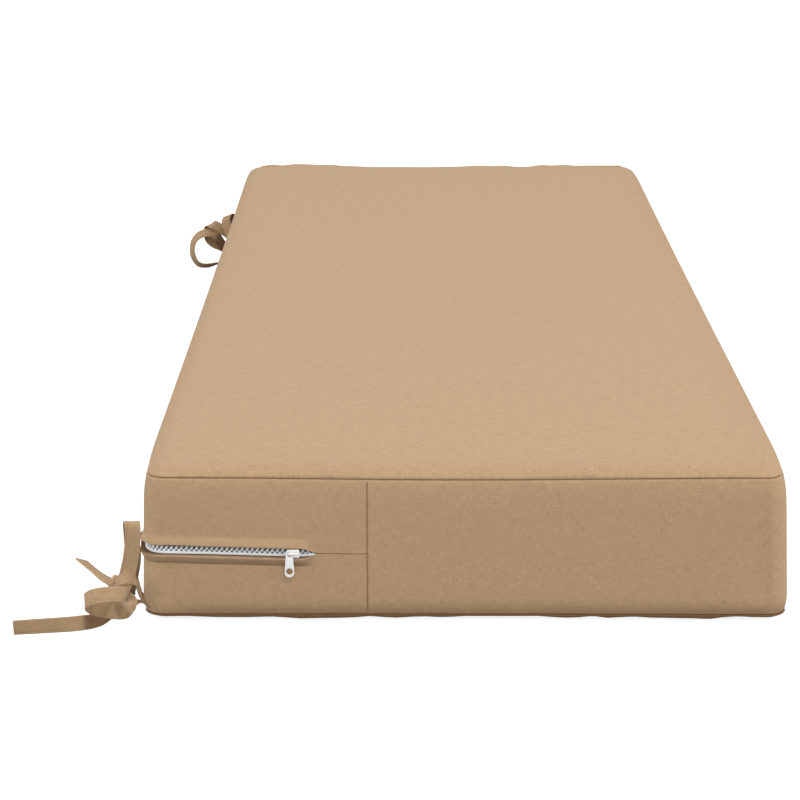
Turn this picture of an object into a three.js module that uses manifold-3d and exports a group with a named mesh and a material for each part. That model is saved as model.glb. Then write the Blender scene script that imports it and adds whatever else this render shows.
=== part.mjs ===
// Back cushion: a long box cushion in plain woven cloth, with a zip round one long side and two tied straps.
// The frame is in millimetres. The cushion lies on its back: X is its width, Y its length, and Z its thickness.
// The origin is the middle of the flat face that it rests on.
import * as THREE from 'three';
import { mergeVertices } from 'three/addons/utils/BufferGeometryUtils.js';
import Module from 'manifold-3d';

const wasm = await Module();
wasm.setup();

// Driving sizes of the cushion
const LENGTH = 1200;
const WIDTH = 500;
const LOWER_SEAM = 5.4;
const UPPER_SEAM = 117.9;
const CORNER_RADIUS = 18;
const SEAM_DEPTH = 1.5;
const SEAM_HALF_WIDTH = 1.1;
const SIDE_DRAW = 1.4;
const END_DRAW = 0.6;
const SEAM_SAG = 1.8;
const SEAM_INSET = 2.1;
const LOWER_SEAM_INSET = 1.8;
const CORNER_SPREAD = 0.35;
const ROUNDED_RIM = 20;
const GAP = 0.34;
const TIE_GAP = 0.66;

// Settling of the filled cushion: its long sides spread at the floor and lean in above it, and its upper
// corners are pulled in. The leans are for each millimetre of height.
const SPREAD_LEFT = 2.4;
const SPREAD_RIGHT = 4.8;
const LEAN_LEFT = 0.036;
const LEAN_RIGHT = 0.056;
const LEAN_TOP = 102;
const SPREAD_FROM = 130;
const CORNER_PULL = 2.2;
const CORNER_PULL_LENGTH = 45;
const CORNER_PULL_FROM = 102;
const CORNER_DIP = 2;
const CORNER_DIP_LENGTH = 40;
const CORNER_DIP_RISE = 6;

// Zip: where it runs, and the two lips of cloth that stand out beside it
const ZIP_HEIGHT = 60;
const ZIP_DROP = 3.5;
const ZIP_TIP = -114.4;
const ZIP_TAPER = 12;
const PANEL_SEAM = -75.5;
const PANEL_SEAM_DEPTH = 1.2;
const PANEL_SEAM_HALF = 2;
const SLOT_HALF = 4.2;
const SLOT_DEPTH = 3.2;
const SLIT_HALF = 0.5;
const SLIT_DEPTH = 1.2;
const LIP = 2.6;
const CHAIN_TOP = -0.6;
const CHAIN_SUNK = -1.4;
const CHAIN_LEAST = 0.4;
const CHAIN_BEVEL = 0.5;
const CHAIN_CREST = 0.55;

// Zip slider and its pull tab
const SLIDER_X = -132.4;
const SLIDER_LENGTH = 9.3;
const SLIDER_HEIGHT = 7.2;
const SLIDER_FACE = 2.4;
const SLIDER_ROUNDING = 1.6;
const BRIDGE_WIDTH = 1.5;
const BRIDGE_SPAN = SLIDER_LENGTH - 2 * BRIDGE_WIDTH;
const BRIDGE_THICKNESS = 1.2;
const BRIDGE_TOP = 5.7;
const BRIDGE_RISE = 1.1;
const BRIDGE_ROUNDING = 0.3;
const BRIDGE_ROOT = 0.4;
const PULL_BACK = 2.95;
const PULL_THICKNESS = 1.2;
const PULL_LENGTH = 22.3;
const PULL_WIDTH = 7.4;
const PULL_NECK = 5.2;
const PULL_HOLE_RADIUS = 2.7;
const PULL_HOLE_RISE = 1;
const PULL_EYE_RADIUS = 1.3;
const PULL_EYE_DROP = 1.9;

// Tie straps
const STRAP_WIDTH = 12;
const STRAP_THICKNESS = 1.2;
const STRAP_STEPS = 4;
const STRAP_LENGTH = 4 * STRAP_STEPS;

const CLOTH = { color: 0xc7aa8a, roughness: 0.92, metalness: 0 };
const STRAP_CLOTH = { color: 0xb8987a, roughness: 0.92, metalness: 0 };
const ZIP_WHITE = { color: 0xdcdedf, roughness: 0.45, metalness: 0.1 };
const SLIDER_WHITE = { color: 0xf0f0ee, roughness: 0.35, metalness: 0.2 };

// The four sides in turn, seen from above against the clock.
// along and out: directions in X and Y; half: half the side's length; reach: distance of the side from the origin;
// draw: how far its middle is drawn in; zipped: whether the corner at its end carries the zip
const SIDES = [
  { name: 'near', along: [1, 0], out: [0, -1], half: WIDTH / 2, reach: LENGTH / 2, draw: END_DRAW, zipped: 0 },
  { name: 'right', along: [0, 1], out: [1, 0], half: LENGTH / 2, reach: WIDTH / 2, draw: SIDE_DRAW, zipped: 0 },
  { name: 'far', along: [-1, 0], out: [0, 1], half: WIDTH / 2, reach: LENGTH / 2, draw: END_DRAW, zipped: 1 },
  { name: 'left', along: [0, -1], out: [-1, 0], half: LENGTH / 2, reach: WIDTH / 2, draw: SIDE_DRAW, zipped: 1 },
];
const END_STEPS = 18;
const SIDE_STEPS = 34;
const CORNER_STEPS = 5;
const CLEAR_OF_FEATURE = 6;

// Slow waves in the seams. x and y: how many millimetres turn the wave by one radian
const RIPPLE = 0.8;
const WAVES = [
  { x: 31, y: 43, phase: 0 },
  { x: 57, y: -71, phase: 1 },
];

// Section of the cushion from the middle of its underside to the middle of its top.
// inset: distance in from the outline; height: above the floor; soft: share of the waves; sag: share of the sag
const UNDERSIDE = [
  { inset: 190, height: 0, soft: 0 },
  { inset: 80, height: 0, soft: 0 },
  { inset: 26, height: 0, soft: 0 },
  { inset: 12, height: 0.3, soft: 0.3 },
  { inset: 7.5, height: 1.1, soft: 0.6 },
  { inset: 4.6, height: 2.6, soft: 1 },
  { inset: 3, height: 3.7, soft: 1 },
];
const LOW_BOXING = [
  { inset: 0.9, height: 10.5 },
  { inset: 0.25, height: 15 },
  { inset: 0, height: 26 },
];
const HIGH_BOXING = [
  { inset: 0, height: 96, sag: 0 },
  { inset: 0.8, height: 111, sag: 1 },
];
const TOP_SAG = 0.8;
const TOP = [
  { inset: 3.6, height: 120.8, soft: 1 },
  { inset: 6.2, height: 122.9, soft: 1 },
  { inset: 10.5, height: 125, soft: 0.9 },
  { inset: 16, height: 126.3, soft: 0.7 },
  { inset: 26, height: 126.9, soft: 0.3 },
  { inset: 70, height: 127.2, soft: 0 },
  { inset: 130, height: 127.4, soft: 0 },
  { inset: 190, height: 127.5, soft: 0 },
];

// Rows on the boxing beside the zip. rise: height over the zip's middle, in millimetres where it is fixed and
// else in half slots; out: how far the row stands out where the zip is open
const ZIP_ROWS = [
  { rise: -10.8, out: 0, fixed: true },
  { rise: -7.2, out: 0.7 * LIP, fixed: true },
  { rise: -1.2, out: LIP, fixed: false },
  { rise: -1.01, out: 0.2 * LIP, fixed: false },
  { rise: -1, out: -SLOT_DEPTH, fixed: false },
  { rise: 1, out: -SLOT_DEPTH, fixed: false },
  { rise: 1.01, out: 0.2 * LIP, fixed: false },
  { rise: 1.2, out: LIP, fixed: false },
  { rise: 7.5, out: 0.7 * LIP, fixed: true },
  { rise: 11.6, out: 0, fixed: true },
];

// Straps of the ties. Each row is the middle of the strap and the direction of its width.
const NEAR_STRAP_TALL = [
  // x, y, z, wx, wy, wz
  [-246.5, -590, 9.2, 0, 0.96, -0.26],
  [-251, -590.5, 12.9, 0, 0.96, -0.25],
  [-254.8, -591, 13.4, 0.05, 0.96, -0.24],
  [-258.6, -593, 15.1, 0.3, 0.9, -0.15],
  [-261.1, -599, 20.3, 0.75, 0.6, 0.1],
  [-260.5, -606, 29.1, 0.97, 0.25, 0],
  [-258.3, -610, 39, 1, 0.2, -0.1],
  [-254.9, -612, 57.2, 1, 0.2, 0],
  [-255.3, -613, 75.6, 1, 0.1, 0],
  [-255.1, -616, 87.4, 1, 0.02, 0],
  [-254.1, -619.5, 90.4, 1, 0, 0],
  [-253, -623, 89, 1, 0, 0],
  [-253.6, -624, 73.4, 1, 0, 0.02],
  [-256.8, -623.5, 55.2, 1, 0, 0.12],
  [-261.9, -624, 39.8, 1, -0.1, 0.35],
  [-268.9, -621, 26.1, 0.8, -0.2, 0.6],
  [-275, -619, 16.2, 0.55, -0.05, 0.85],
  [-283.3, -619, 9.6, 0.15, 0, 1],
  [-298.8, -622, 7.9, 0, 0.2, 1],
  [-326.1, -625, 7.0, 0, 0.1, 1],
  [-347.1, -627, 6.4, 0, 0, 1],
];
const NEAR_STRAP_RING = [
  // x, y, z, wx, wy, wz
  [-249.5, -572, 7, -0.59, 0.41, 0.69],
  [-251.2, -586, 13.8, -0.38, 0.54, 0.75],
  [-252.4, -593, 20.7, -0.16, 0.71, 0.68],
  [-252.9, -600, 28, -0.07, 0.71, 0.7],
  [-253.1, -608, 35.7, -0.08, 0.67, 0.74],
  [-253.6, -615, 41.6, -0.25, 0.75, 0.6],
  [-254.6, -622, 45.9, -0.15, 0.83, 0.54],
  [-256.3, -628, 48.7, -0.05, 0.85, 0.52],
  [-258.8, -631, 49, -0.05, 0.9, 0.42],
  [-262.4, -631, 47.7, -0.1, 0.93, 0.33],
  [-266.1, -628, 43.6, -0.1, 0.8, 0.55],
  [-268.1, -619, 34.8, 0.1, 0.5, 0.85],
  [-263.2, -616.5, 31.2, 0.2, 0.3, 0.9],
  [-258.3, -623, 33.9, 0.45, 0.2, 0.85],
  [-259.5, -634, 37.1, 0.34, 0.42, 1],
  [-265.3, -639, 39.3, 0.1, 0.5, 1],
  [-276, -640, 38.8, -0.03, 0.52, 1],
  [-284.6, -638, 36.1, -0.1, 0.52, 1],
  [-290.1, -632, 29.9, -0.1, 0.55, 1],
  [-286.8, -626, 23.6, -0.05, 0.5, 0.95],
  [-281.8, -624.5, 21.1, 0, 0.5, 0.9],
  [-275, -624, 19.5, 0.02, 0.3, 1],
  [-267.3, -624, 18.5, 0, 0.3, 1],
  [-261.5, -624.5, 19.3, -0.1, 0.25, 1],
  [-258.6, -625, 23.2, -0.55, 0.25, 0.78],
  [-256.6, -623.5, 26.5, -0.85, 0.5, 0],
  [-258.7, -621, 29.3, -0.55, 0.6, -0.55],
  [-262.9, -619, 31.1, -0.5, 0.2, -0.8],
  [-265.3, -617, 35.3, -0.8, 0, -0.5],
  [-268.8, -618, 39.8, -0.6, -0.4, -0.5],
  [-273.7, -618, 41.8, -0.72, -0.5, 0.2],
  [-286.3, -606, 45.4, -0.65, -0.62, 0.42],
  [-298.2, -590, 47.7, -0.62, -0.66, 0.42],
];
const FAR_STRAP_RING = [
  // x, y, z, wx, wy, wz
  [-250.2, 556, 5.8, 0, 1, 0],
  [-266.4, 549, 8, 0, 0.95, -0.2],
  [-286, 545.5, 6.8, 0, 0.9, -0.38],
  [-300.6, 543, 4.2, -0.05, 0.8, -0.6],
  [-311.3, 542.6, 6.3, -0.3, 0.7, -0.6],
  [-317.6, 544, 15.3, -0.62, 0.75, -0.25],
  [-319.1, 546, 25.3, -0.55, 0.83, 0],
  [-316.6, 548, 35.6, -0.5, 0.78, 0.3],
  [-310.2, 547, 42.9, -0.3, 0.75, 0.55],
  [-300.9, 545, 46.8, -0.1, 0.7, 0.7],
  [-292.5, 543, 47.1, 0.1, 0.35, 0.93],
  [-287.2, 542, 43.4, 0.2, 0.1, 0.98],
  [-283.1, 547, 34.3, 0.2, -0.15, 1],
  [-277.2, 554, 24, 0, -0.1, 1],
  [-268.3, 560, 14.7, -0.4, 0.3, 0.9],
  [-257.3, 566, 6.3, -0.8, 0.6, 0.3],
];
const FAR_STRAP_WRAP = [
  // x, y, z, wx, wy, wz
  [-250.6, 562, 5.7, 0, 1, 0],
  [-255.8, 567, 21.7, 0.5, 1, 0],
  [-259.3, 568, 39.9, 0.8, 0.6, 0],
  [-265.9, 566, 54.9, 0.95, -0.25, 0.1],
  [-268.1, 562, 63.9, 0.95, -0.2, 0.2],
  [-272.2, 556, 67, 0.85, -0.3, 0.42],
  [-275.4, 549, 62.9, 0.88, -0.35, 0.25],
  [-273.5, 543, 54.8, 0.98, 0, 0.15],
  [-269.8, 539, 46, 0.95, 0, 0.3],
  [-266.6, 538, 39.7, 0.7, 0, 0.7],
  [-266.5, 544, 40.2, 0.4, 0.1, 0.9],
  [-272.3, 546, 45, 0.5, 0.25, 0.83],
  [-279.1, 545, 50.2, 0.5, 0.3, 0.81],
  [-285.2, 543, 55, 0.5, 0.35, 0.79],
  [-290.8, 543, 57.9, 0.55, 0.5, 0.67],
  [-295.4, 547, 57, 0.85, 0.3, 0.42],
  [-297.8, 551, 51, 0.98, 0.1, 0.1],
  [-298.2, 552, 44.3, 0.98, 0.1, 0.1],
  [-297.1, 552, 37, 0.93, 0.1, 0.3],
  [-291.3, 552, 31.3, 0.65, 0.1, 0.72],
  [-282.3, 553, 27.1, 0.42, 0.1, 0.88],
  [-270.4, 555, 19.9, 0.35, 0.1, 0.93],
];

const lerp = THREE.MathUtils.lerp;
const ramp = THREE.MathUtils.smoothstep;

// One column of the cushion's skin: a side with its place along it, or a corner with its angle
function columnsOf() {
  const columns = [];
  SIDES.forEach((side, index) => {
    const straight = side.half - CORNER_RADIUS;
    const steps = side.half < LENGTH / 2 ? END_STEPS : SIDE_STEPS;
    const places = new Set();
    for (let i = 0; i <= steps; i += 1) places.add(lerp(-straight, straight, i / steps));
    if (side.name === 'near' || side.name === 'far') addEndFeatures(places, side.along[0]);
    [...places].sort((a, b) => a - b).forEach((place) => columns.push({ index, place, turn: 0 }));
    for (let i = 1; i < CORNER_STEPS; i += 1) {
      columns.push({ index, place: straight, turn: (i / CORNER_STEPS) * (Math.PI / 2) });
    }
  });
  return columns;
}

// Columns at the panel seam and at the end of the zip, in place of the even ones close by
function addEndFeatures(places, sense) {
  const atSeam = [-PANEL_SEAM_HALF, 0, PANEL_SEAM_HALF].map((step) => PANEL_SEAM + step);
  const atTip = [0, 0.5, 1].map((share) => ZIP_TIP - share * ZIP_TAPER);
  const wanted = [...atSeam, ...atTip];
  const near = (place) => wanted.some((x) => Math.abs(x * sense - place) < CLEAR_OF_FEATURE);
  [...places].filter(near).forEach((place) => places.delete(place));
  wanted.forEach((x) => places.add(x * sense));
}

// Place of a column on the outline that lies inset inside the cushion's own
function outlineAt(column, inset) {
  const side = SIDES[column.index];
  const next = SIDES[(column.index + 1) % 4];
  const radius = Math.min(CORNER_RADIUS + inset * CORNER_SPREAD, WIDTH / 2 - inset - 1);
  const scale = (side.half - inset - radius) / (side.half - CORNER_RADIUS);
  const share = column.place / side.half;
  const drawn = side.draw * (1 - share * share) * Math.cos(column.turn) ** 2;
  const depth = side.reach - inset - drawn;
  if (column.turn === 0) {
    return {
      x: side.along[0] * column.place * scale + side.out[0] * depth,
      y: side.along[1] * column.place * scale + side.out[1] * depth,
      nx: side.out[0],
      ny: side.out[1],
    };
  }
  const nx = side.out[0] * Math.cos(column.turn) + next.out[0] * Math.sin(column.turn);
  const ny = side.out[1] * Math.cos(column.turn) + next.out[1] * Math.sin(column.turn);
  const centre = (s) => s.reach - inset - radius;
  return {
    x: side.out[0] * centre(side) + next.out[0] * centre(next) + nx * radius,
    y: side.out[1] * centre(side) + next.out[1] * centre(next) + ny * radius,
    nx,
    ny,
  };
}

function isEnd(side) {
  return side === 'near' || side === 'far';
}

// How open the zip is at a place: 1 along the chain, less where it tapers, 0 past its tip
function zipShare(point, side) {
  if (side === 'right') return 0;
  if (side === 'left') return 1;
  return 1 - ramp(point.x, ZIP_TIP - ZIP_TAPER, ZIP_TIP);
}

function zipHeight(point, side) {
  if (!isEnd(side)) return ZIP_HEIGHT;
  return ZIP_HEIGHT - ZIP_DROP * ramp(point.x, -WIDTH / 2, PANEL_SEAM);
}

function inSlit(point, side) {
  return isEnd(side) && point.x < PANEL_SEAM + PANEL_SEAM_HALF / 2;
}

function ripple(point) {
  return WAVES.reduce((height, wave) => height * Math.sin(point.x / wave.x + point.y / wave.y + wave.phase), RIPPLE);
}

// Depth of the seam between the boxing's two panels
function panelGroove(point, side) {
  return isEnd(side) && Math.abs(point.x - PANEL_SEAM) < PANEL_SEAM_HALF / 2 ? PANEL_SEAM_DEPTH : 0;
}

// Rows of the cushion's skin at one column, from the middle of its underside to the middle of its top
function rowsAt(column) {
  const side = SIDES[column.index].name;
  const rim = outlineAt(column, 0);
  const wave = ripple(rim);
  const groove = panelGroove(rim, side);
  const sag = isEnd(side) ? SEAM_SAG * Math.cos((rim.x / WIDTH) * Math.PI) ** 2 : 0;
  const upperSeam = UPPER_SEAM - sag;
  const open = openness(column, rim, side);
  const middle = zipHeight(rim, side);
  const rows = UNDERSIDE.map((row) => ({ inset: row.inset - wave * row.soft, height: row.height }));
  rows.push({ inset: LOWER_SEAM_INSET - wave, height: LOWER_SEAM - SEAM_HALF_WIDTH });
  rows.push({ inset: LOWER_SEAM_INSET + SEAM_DEPTH, height: LOWER_SEAM });
  rows.push({ inset: LOWER_SEAM_INSET, height: LOWER_SEAM + SEAM_HALF_WIDTH });
  LOW_BOXING.forEach((row) => rows.push({ inset: row.inset + groove, height: row.height }));
  const squeeze = lerp(inSlit(rim, side) || column.turn > 0 ? SLIT_HALF : SLIT_HALF / 2, SLOT_HALF, open);
  ZIP_ROWS.forEach((row) => {
    const slit = row.out < 0 && inSlit(rim, side) ? SLIT_DEPTH * (1 - open) : 0;
    rows.push({
      inset: groove - row.out * open + slit,
      height: middle + (row.fixed ? row.rise : row.rise * squeeze),
    });
  });
  HIGH_BOXING.forEach((row) => rows.push({ inset: row.inset + groove, height: row.height - sag * row.sag }));
  rows.push({ inset: SEAM_INSET, height: upperSeam - SEAM_HALF_WIDTH });
  rows.push({ inset: SEAM_INSET + SEAM_DEPTH, height: upperSeam });
  rows.push({ inset: SEAM_INSET - wave, height: upperSeam + SEAM_HALF_WIDTH });
  TOP.forEach((row) => {
    const lift = (wave - sag * TOP_SAG) * row.soft;
    rows.push({ inset: row.inset, height: row.height + lift });
  });
  return rows;
}

// How open the zip is at a column, which on a corner is either wholly or not at all
function openness(column, rim, side) {
  return column.turn > 0 ? SIDES[column.index].zipped : zipShare(rim, side);
}

// Where a point of the cover goes once the filled cushion has settled
function settled(x, y, height) {
  const side = ramp(Math.abs(x), SPREAD_FROM, WIDTH / 2);
  const leaning = x < 0 ? SPREAD_LEFT - LEAN_LEFT * height : SPREAD_RIGHT - LEAN_RIGHT * height;
  const spread = leaning * (1 - ramp(height, LEAN_TOP, UPPER_SEAM));
  const fromEnd = (LENGTH / 2 - Math.abs(y)) / CORNER_PULL_LENGTH;
  const pull = CORNER_PULL * Math.exp(-fromEnd * fromEnd) * ramp(height, CORNER_PULL_FROM, UPPER_SEAM);
  const fromCorner = Math.hypot(WIDTH / 2 - Math.abs(x), LENGTH / 2 - Math.abs(y)) / CORNER_DIP_LENGTH;
  const dip = CORNER_DIP * Math.exp(-fromCorner * fromCorner) * ramp(height - UPPER_SEAM, 0, CORNER_DIP_RISE);
  return new THREE.Vector3(x + Math.sign(x) * side * (spread - pull), y, height - dip);
}

// Closed skin of the cushion, larger all round its sides by grow
function cushionGeometry(grow) {
  const columns = columnsOf();
  const sections = columns.map(rowsAt);
  const rowCount = sections[0].length;
  const positions = [];
  for (let r = 0; r < rowCount; r += 1) {
    columns.forEach((column, c) => {
      const row = sections[c][r];
      const within = row.inset > ROUNDED_RIM;
      const p = outlineAt(column, within ? row.inset : 0);
      const back = within ? 0 : row.inset - grow;
      positions.push(...settled(p.x - p.nx * back, p.y - p.ny * back, row.height));
    });
  }
  const index = [];
  const count = columns.length;
  for (let r = 0; r + 1 < rowCount; r += 1) {
    for (let c = 0; c < count; c += 1) {
      const a = r * count + c;
      const b = r * count + ((c + 1) % count);
      index.push(a, b, b + count, a, b + count, a + count);
    }
  }
  const bottom = positions.length / 3;
  positions.push(0, 0, 0);
  positions.push(0, 0, sections[0][rowCount - 1].height);
  for (let c = 0; c < count; c += 1) {
    const d = (c + 1) % count;
    const last = (rowCount - 1) * count;
    index.push(bottom, d, c);
    index.push(bottom + 1, last + c, last + d);
  }
  return indexed(positions, index);
}

function indexed(positions, index) {
  const geometry = new THREE.BufferGeometry();
  geometry.setAttribute('position', new THREE.Float32BufferAttribute(positions, 3));
  geometry.setIndex(index);
  geometry.computeVertexNormals();
  return geometry;
}

// Closed skin through rings of equal length, with flat ends
function sleeve(rings) {
  const positions = rings.flat().flatMap((p) => [p.x, p.y, p.z]);
  const sides = rings[0].length;
  const index = [];
  for (let i = 0; i + 1 < rings.length; i += 1) {
    for (let k = 0; k < sides; k += 1) {
      const a = i * sides + k;
      const b = i * sides + ((k + 1) % sides);
      index.push(a, b, b + sides, a, b + sides, a + sides);
    }
  }
  const last = (rings.length - 1) * sides;
  for (let k = 1; k + 1 < sides; k += 1) {
    index.push(0, k + 1, k);
    index.push(last, last + k, last + k + 1);
  }
  return indexed(positions, index);
}

function toSolid(geometry) {
  const bare = geometry.clone();
  bare.deleteAttribute('normal');
  bare.deleteAttribute('uv');
  const merged = mergeVertices(bare, 1e-4);
  const vertProperties = new Float32Array(merged.attributes.position.array);
  const triVerts = new Uint32Array(merged.index.array);
  return new wasm.Manifold(new wasm.Mesh({ numProp: 3, vertProperties, triVerts }));
}

function toGeometry(solid) {
  const mesh = solid.getMesh();
  return indexed(Array.from(mesh.vertProperties), Array.from(mesh.triVerts));
}

// The zip's chain and tape: a strip along the floor of the slot, pointed where the lips close over it
function zipChainGeometry() {
  const columns = columnsOf().filter((column) => {
    const side = SIDES[column.index].name;
    const rim = outlineAt(column, 0);
    if (column.turn > 0) return SIDES[column.index].zipped > 0;
    return side === 'left' || (side !== 'right' && rim.x < ZIP_TIP - 1);
  });
  const start = columns.findIndex((column) => SIDES[column.index].name === 'far');
  const ordered = [...columns.slice(start), ...columns.slice(0, start)];
  const rings = ordered.map((column) => {
    const side = SIDES[column.index].name;
    const rim = outlineAt(column, 0);
    const open = openness(column, rim, side);
    const middle = zipHeight(rim, side);
    const half = lerp(SLIT_HALF, SLOT_HALF, open) - GAP;
    const floor = -SLOT_DEPTH * open + GAP;
    const top = Math.max(lerp(CHAIN_SUNK, CHAIN_TOP, open), floor + CHAIN_LEAST);
    const at = (out, rise) => settled(rim.x + rim.nx * out, rim.y + rim.ny * out, middle + rise);
    return [
      at(floor, half),
      at(top - CHAIN_BEVEL, half),
      at(top, half * CHAIN_CREST),
      at(top, -half * CHAIN_CREST),
      at(top - CHAIN_BEVEL, -half),
      at(floor, -half),
    ];
  });
  return sleeve(rings);
}

// Where the slider sits: the boxing's face and the zip's height there
function sliderPlace() {
  const rim = outlineAt({ index: 0, place: SLIDER_X, turn: 0 }, 0);
  return { face: rim.y, height: zipHeight(rim, 'near') };
}

function block(width, height, thickness, radius) {
  const shape = new THREE.Shape();
  const w = width / 2;
  const h = height / 2;
  shape.absarc(w - radius, h - radius, radius, 0, Math.PI / 2, false);
  shape.absarc(-w + radius, h - radius, radius, Math.PI / 2, Math.PI, false);
  shape.absarc(-w + radius, -h + radius, radius, Math.PI, Math.PI * 1.5, false);
  shape.absarc(w - radius, -h + radius, radius, Math.PI * 1.5, Math.PI * 2, false);
  return new THREE.ExtrudeGeometry(shape, { depth: thickness, bevelEnabled: false, curveSegments: 4 });
}

// A shape drawn in X and Z with its thickness towards the viewer, from its back face
function standing(geometry, x, back, z) {
  geometry.rotateX(Math.PI / 2);
  geometry.translate(x, back, z);
  return geometry;
}

// Slider: its plate on the chain, and the bridge whose left leg holds the pull tab's eye
function sliderGeometry() {
  const { face, height } = sliderPlace();
  const back = face - (CHAIN_TOP + GAP);
  const plate = block(SLIDER_LENGTH, SLIDER_HEIGHT, SLIDER_FACE - CHAIN_TOP - GAP, SLIDER_ROUNDING);
  const root = face - SLIDER_FACE + BRIDGE_ROOT;
  const leg = () => block(BRIDGE_WIDTH, BRIDGE_WIDTH, BRIDGE_TOP - SLIDER_FACE + BRIDGE_ROOT, BRIDGE_ROUNDING);
  const bar = block(BRIDGE_SPAN + BRIDGE_WIDTH, BRIDGE_WIDTH, BRIDGE_THICKNESS, BRIDGE_ROUNDING);
  const rise = height + BRIDGE_RISE;
  return toGeometry(
    toSolid(standing(plate, SLIDER_X, back, height))
      .add(toSolid(standing(leg(), SLIDER_X - BRIDGE_SPAN / 2, root, rise)))
      .add(toSolid(standing(leg(), SLIDER_X + BRIDGE_SPAN / 2, root, rise)))
      .add(toSolid(standing(bar, SLIDER_X, face - BRIDGE_TOP + BRIDGE_THICKNESS, rise))),
  );
}

// Pull tab: a tapered plate, round at its foot, with a small eye on the bridge and a round hole
function pullGeometry() {
  const { face, height } = sliderPlace();
  const shape = new THREE.Shape();
  const foot = PULL_WIDTH / 2;
  const neck = PULL_NECK / 2;
  const eyeToFoot = PULL_LENGTH - neck - foot;
  shape.absarc(0, 0, neck, 0, Math.PI, false);
  shape.absarc(0, -eyeToFoot, foot, Math.PI, Math.PI * 2, false);
  const eye = new THREE.Path();
  eye.absarc(0, 0, PULL_EYE_RADIUS, Math.PI, 0, true);
  eye.absarc(0, -PULL_EYE_DROP, PULL_EYE_RADIUS, 0, -Math.PI, true);
  const hole = new THREE.Path();
  hole.absarc(0, PULL_HOLE_RISE - eyeToFoot, PULL_HOLE_RADIUS, 0, Math.PI * 2, true);
  shape.holes.push(eye, hole);
  const tab = new THREE.ExtrudeGeometry(shape, { depth: PULL_THICKNESS, bevelEnabled: false, curveSegments: 10 });
  return standing(tab, SLIDER_X - BRIDGE_SPAN / 2, face - PULL_BACK, height + BRIDGE_RISE);
}

// Cross-sections of a strap along its route
function strapRings(route) {
  const middle = new THREE.CatmullRomCurve3(route.map(([x, y, z]) => new THREE.Vector3(x, y, z)));
  const steps = (route.length - 1) * STRAP_STEPS;
  const rings = [];
  for (let i = 0; i <= steps; i += 1) {
    const place = (i / steps) * (route.length - 1);
    const from = Math.min(Math.floor(place), route.length - 2);
    const a = new THREE.Vector3(...route[from].slice(3));
    const b = new THREE.Vector3(...route[from + 1].slice(3));
    const across = a.lerp(b, ramp(place - from, 0, 1));
    const along = middle.getTangent(i / steps);
    across.addScaledVector(along, -across.dot(along)).setLength(STRAP_WIDTH / 2);
    const through = new THREE.Vector3().crossVectors(along, across).setLength(STRAP_THICKNESS / 2);
    const centre = middle.getPoint(i / steps);
    const corner = (w, t) => centre.clone().addScaledVector(across, w).addScaledVector(through, t);
    rings.push([corner(-1, -1), corner(1, -1), corner(1, 1), corner(-1, 1)]);
  }
  return rings;
}

// A strap in short lengths, joined, so that it may pass over itself in the knot
function strapSolid(route) {
  const rings = strapRings(route);
  const lengths = [];
  for (let i = 0; i + 1 < rings.length; i += STRAP_LENGTH) {
    lengths.push(toSolid(sleeve(rings.slice(i, i + STRAP_LENGTH + 1))));
  }
  return wasm.Manifold.union(lengths);
}

// A tie: two straps knotted together, clear of the cushion by the gap
function tieGeometry(first, second, roomFor) {
  const tied = strapSolid(first).add(strapSolid(second)).subtract(roomFor);
  const pieces = tied.decompose().sort((a, b) => b.volume() - a.volume());
  return toGeometry(pieces[0]);
}

function named(name, geometry, finish) {
  const mesh = new THREE.Mesh(geometry, new THREE.MeshStandardMaterial(finish));
  mesh.name = name;
  return mesh;
}

function backCushion() {
  const group = new THREE.Group();
  const room = toSolid(cushionGeometry(TIE_GAP));
  const nearTie = tieGeometry(NEAR_STRAP_TALL, NEAR_STRAP_RING, room);
  const farTie = tieGeometry(FAR_STRAP_RING, FAR_STRAP_WRAP, room);
  group.add(named('cushion', cushionGeometry(0), CLOTH));
  group.add(named('zip_chain', zipChainGeometry(), ZIP_WHITE));
  group.add(named('zip_slider', sliderGeometry(), SLIDER_WHITE));
  group.add(named('zip_pull', pullGeometry(), SLIDER_WHITE));
  group.add(named('tie_near', nearTie, STRAP_CLOTH));
  group.add(named('tie_far', farTie, STRAP_CLOTH));
  return group;
}

export default backCushion();
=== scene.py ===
"""Looks of the back cushion: woven cover with sewn seams, zip with slider and pull tab, and knotted straps."""

import math

import bmesh
import bpy
import numpy as np
from mathutils import Matrix, Vector
from mathutils.bvhtree import BVHTree


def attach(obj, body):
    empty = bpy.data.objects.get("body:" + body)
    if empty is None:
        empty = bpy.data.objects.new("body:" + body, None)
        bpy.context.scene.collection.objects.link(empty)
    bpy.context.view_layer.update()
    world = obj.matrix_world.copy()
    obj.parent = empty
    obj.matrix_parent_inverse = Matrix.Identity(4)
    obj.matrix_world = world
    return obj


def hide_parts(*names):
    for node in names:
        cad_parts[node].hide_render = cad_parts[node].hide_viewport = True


bl_info = {
    "name": "Back cushion",
    "version": (1, 0, 0),
    "blender": (4, 5, 0),
    "location": "View3D > Sidebar > Cushion",
    "description": "Builds a zipped box cushion with tie straps, and a plain studio for it",
    "category": "Object",
}

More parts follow.
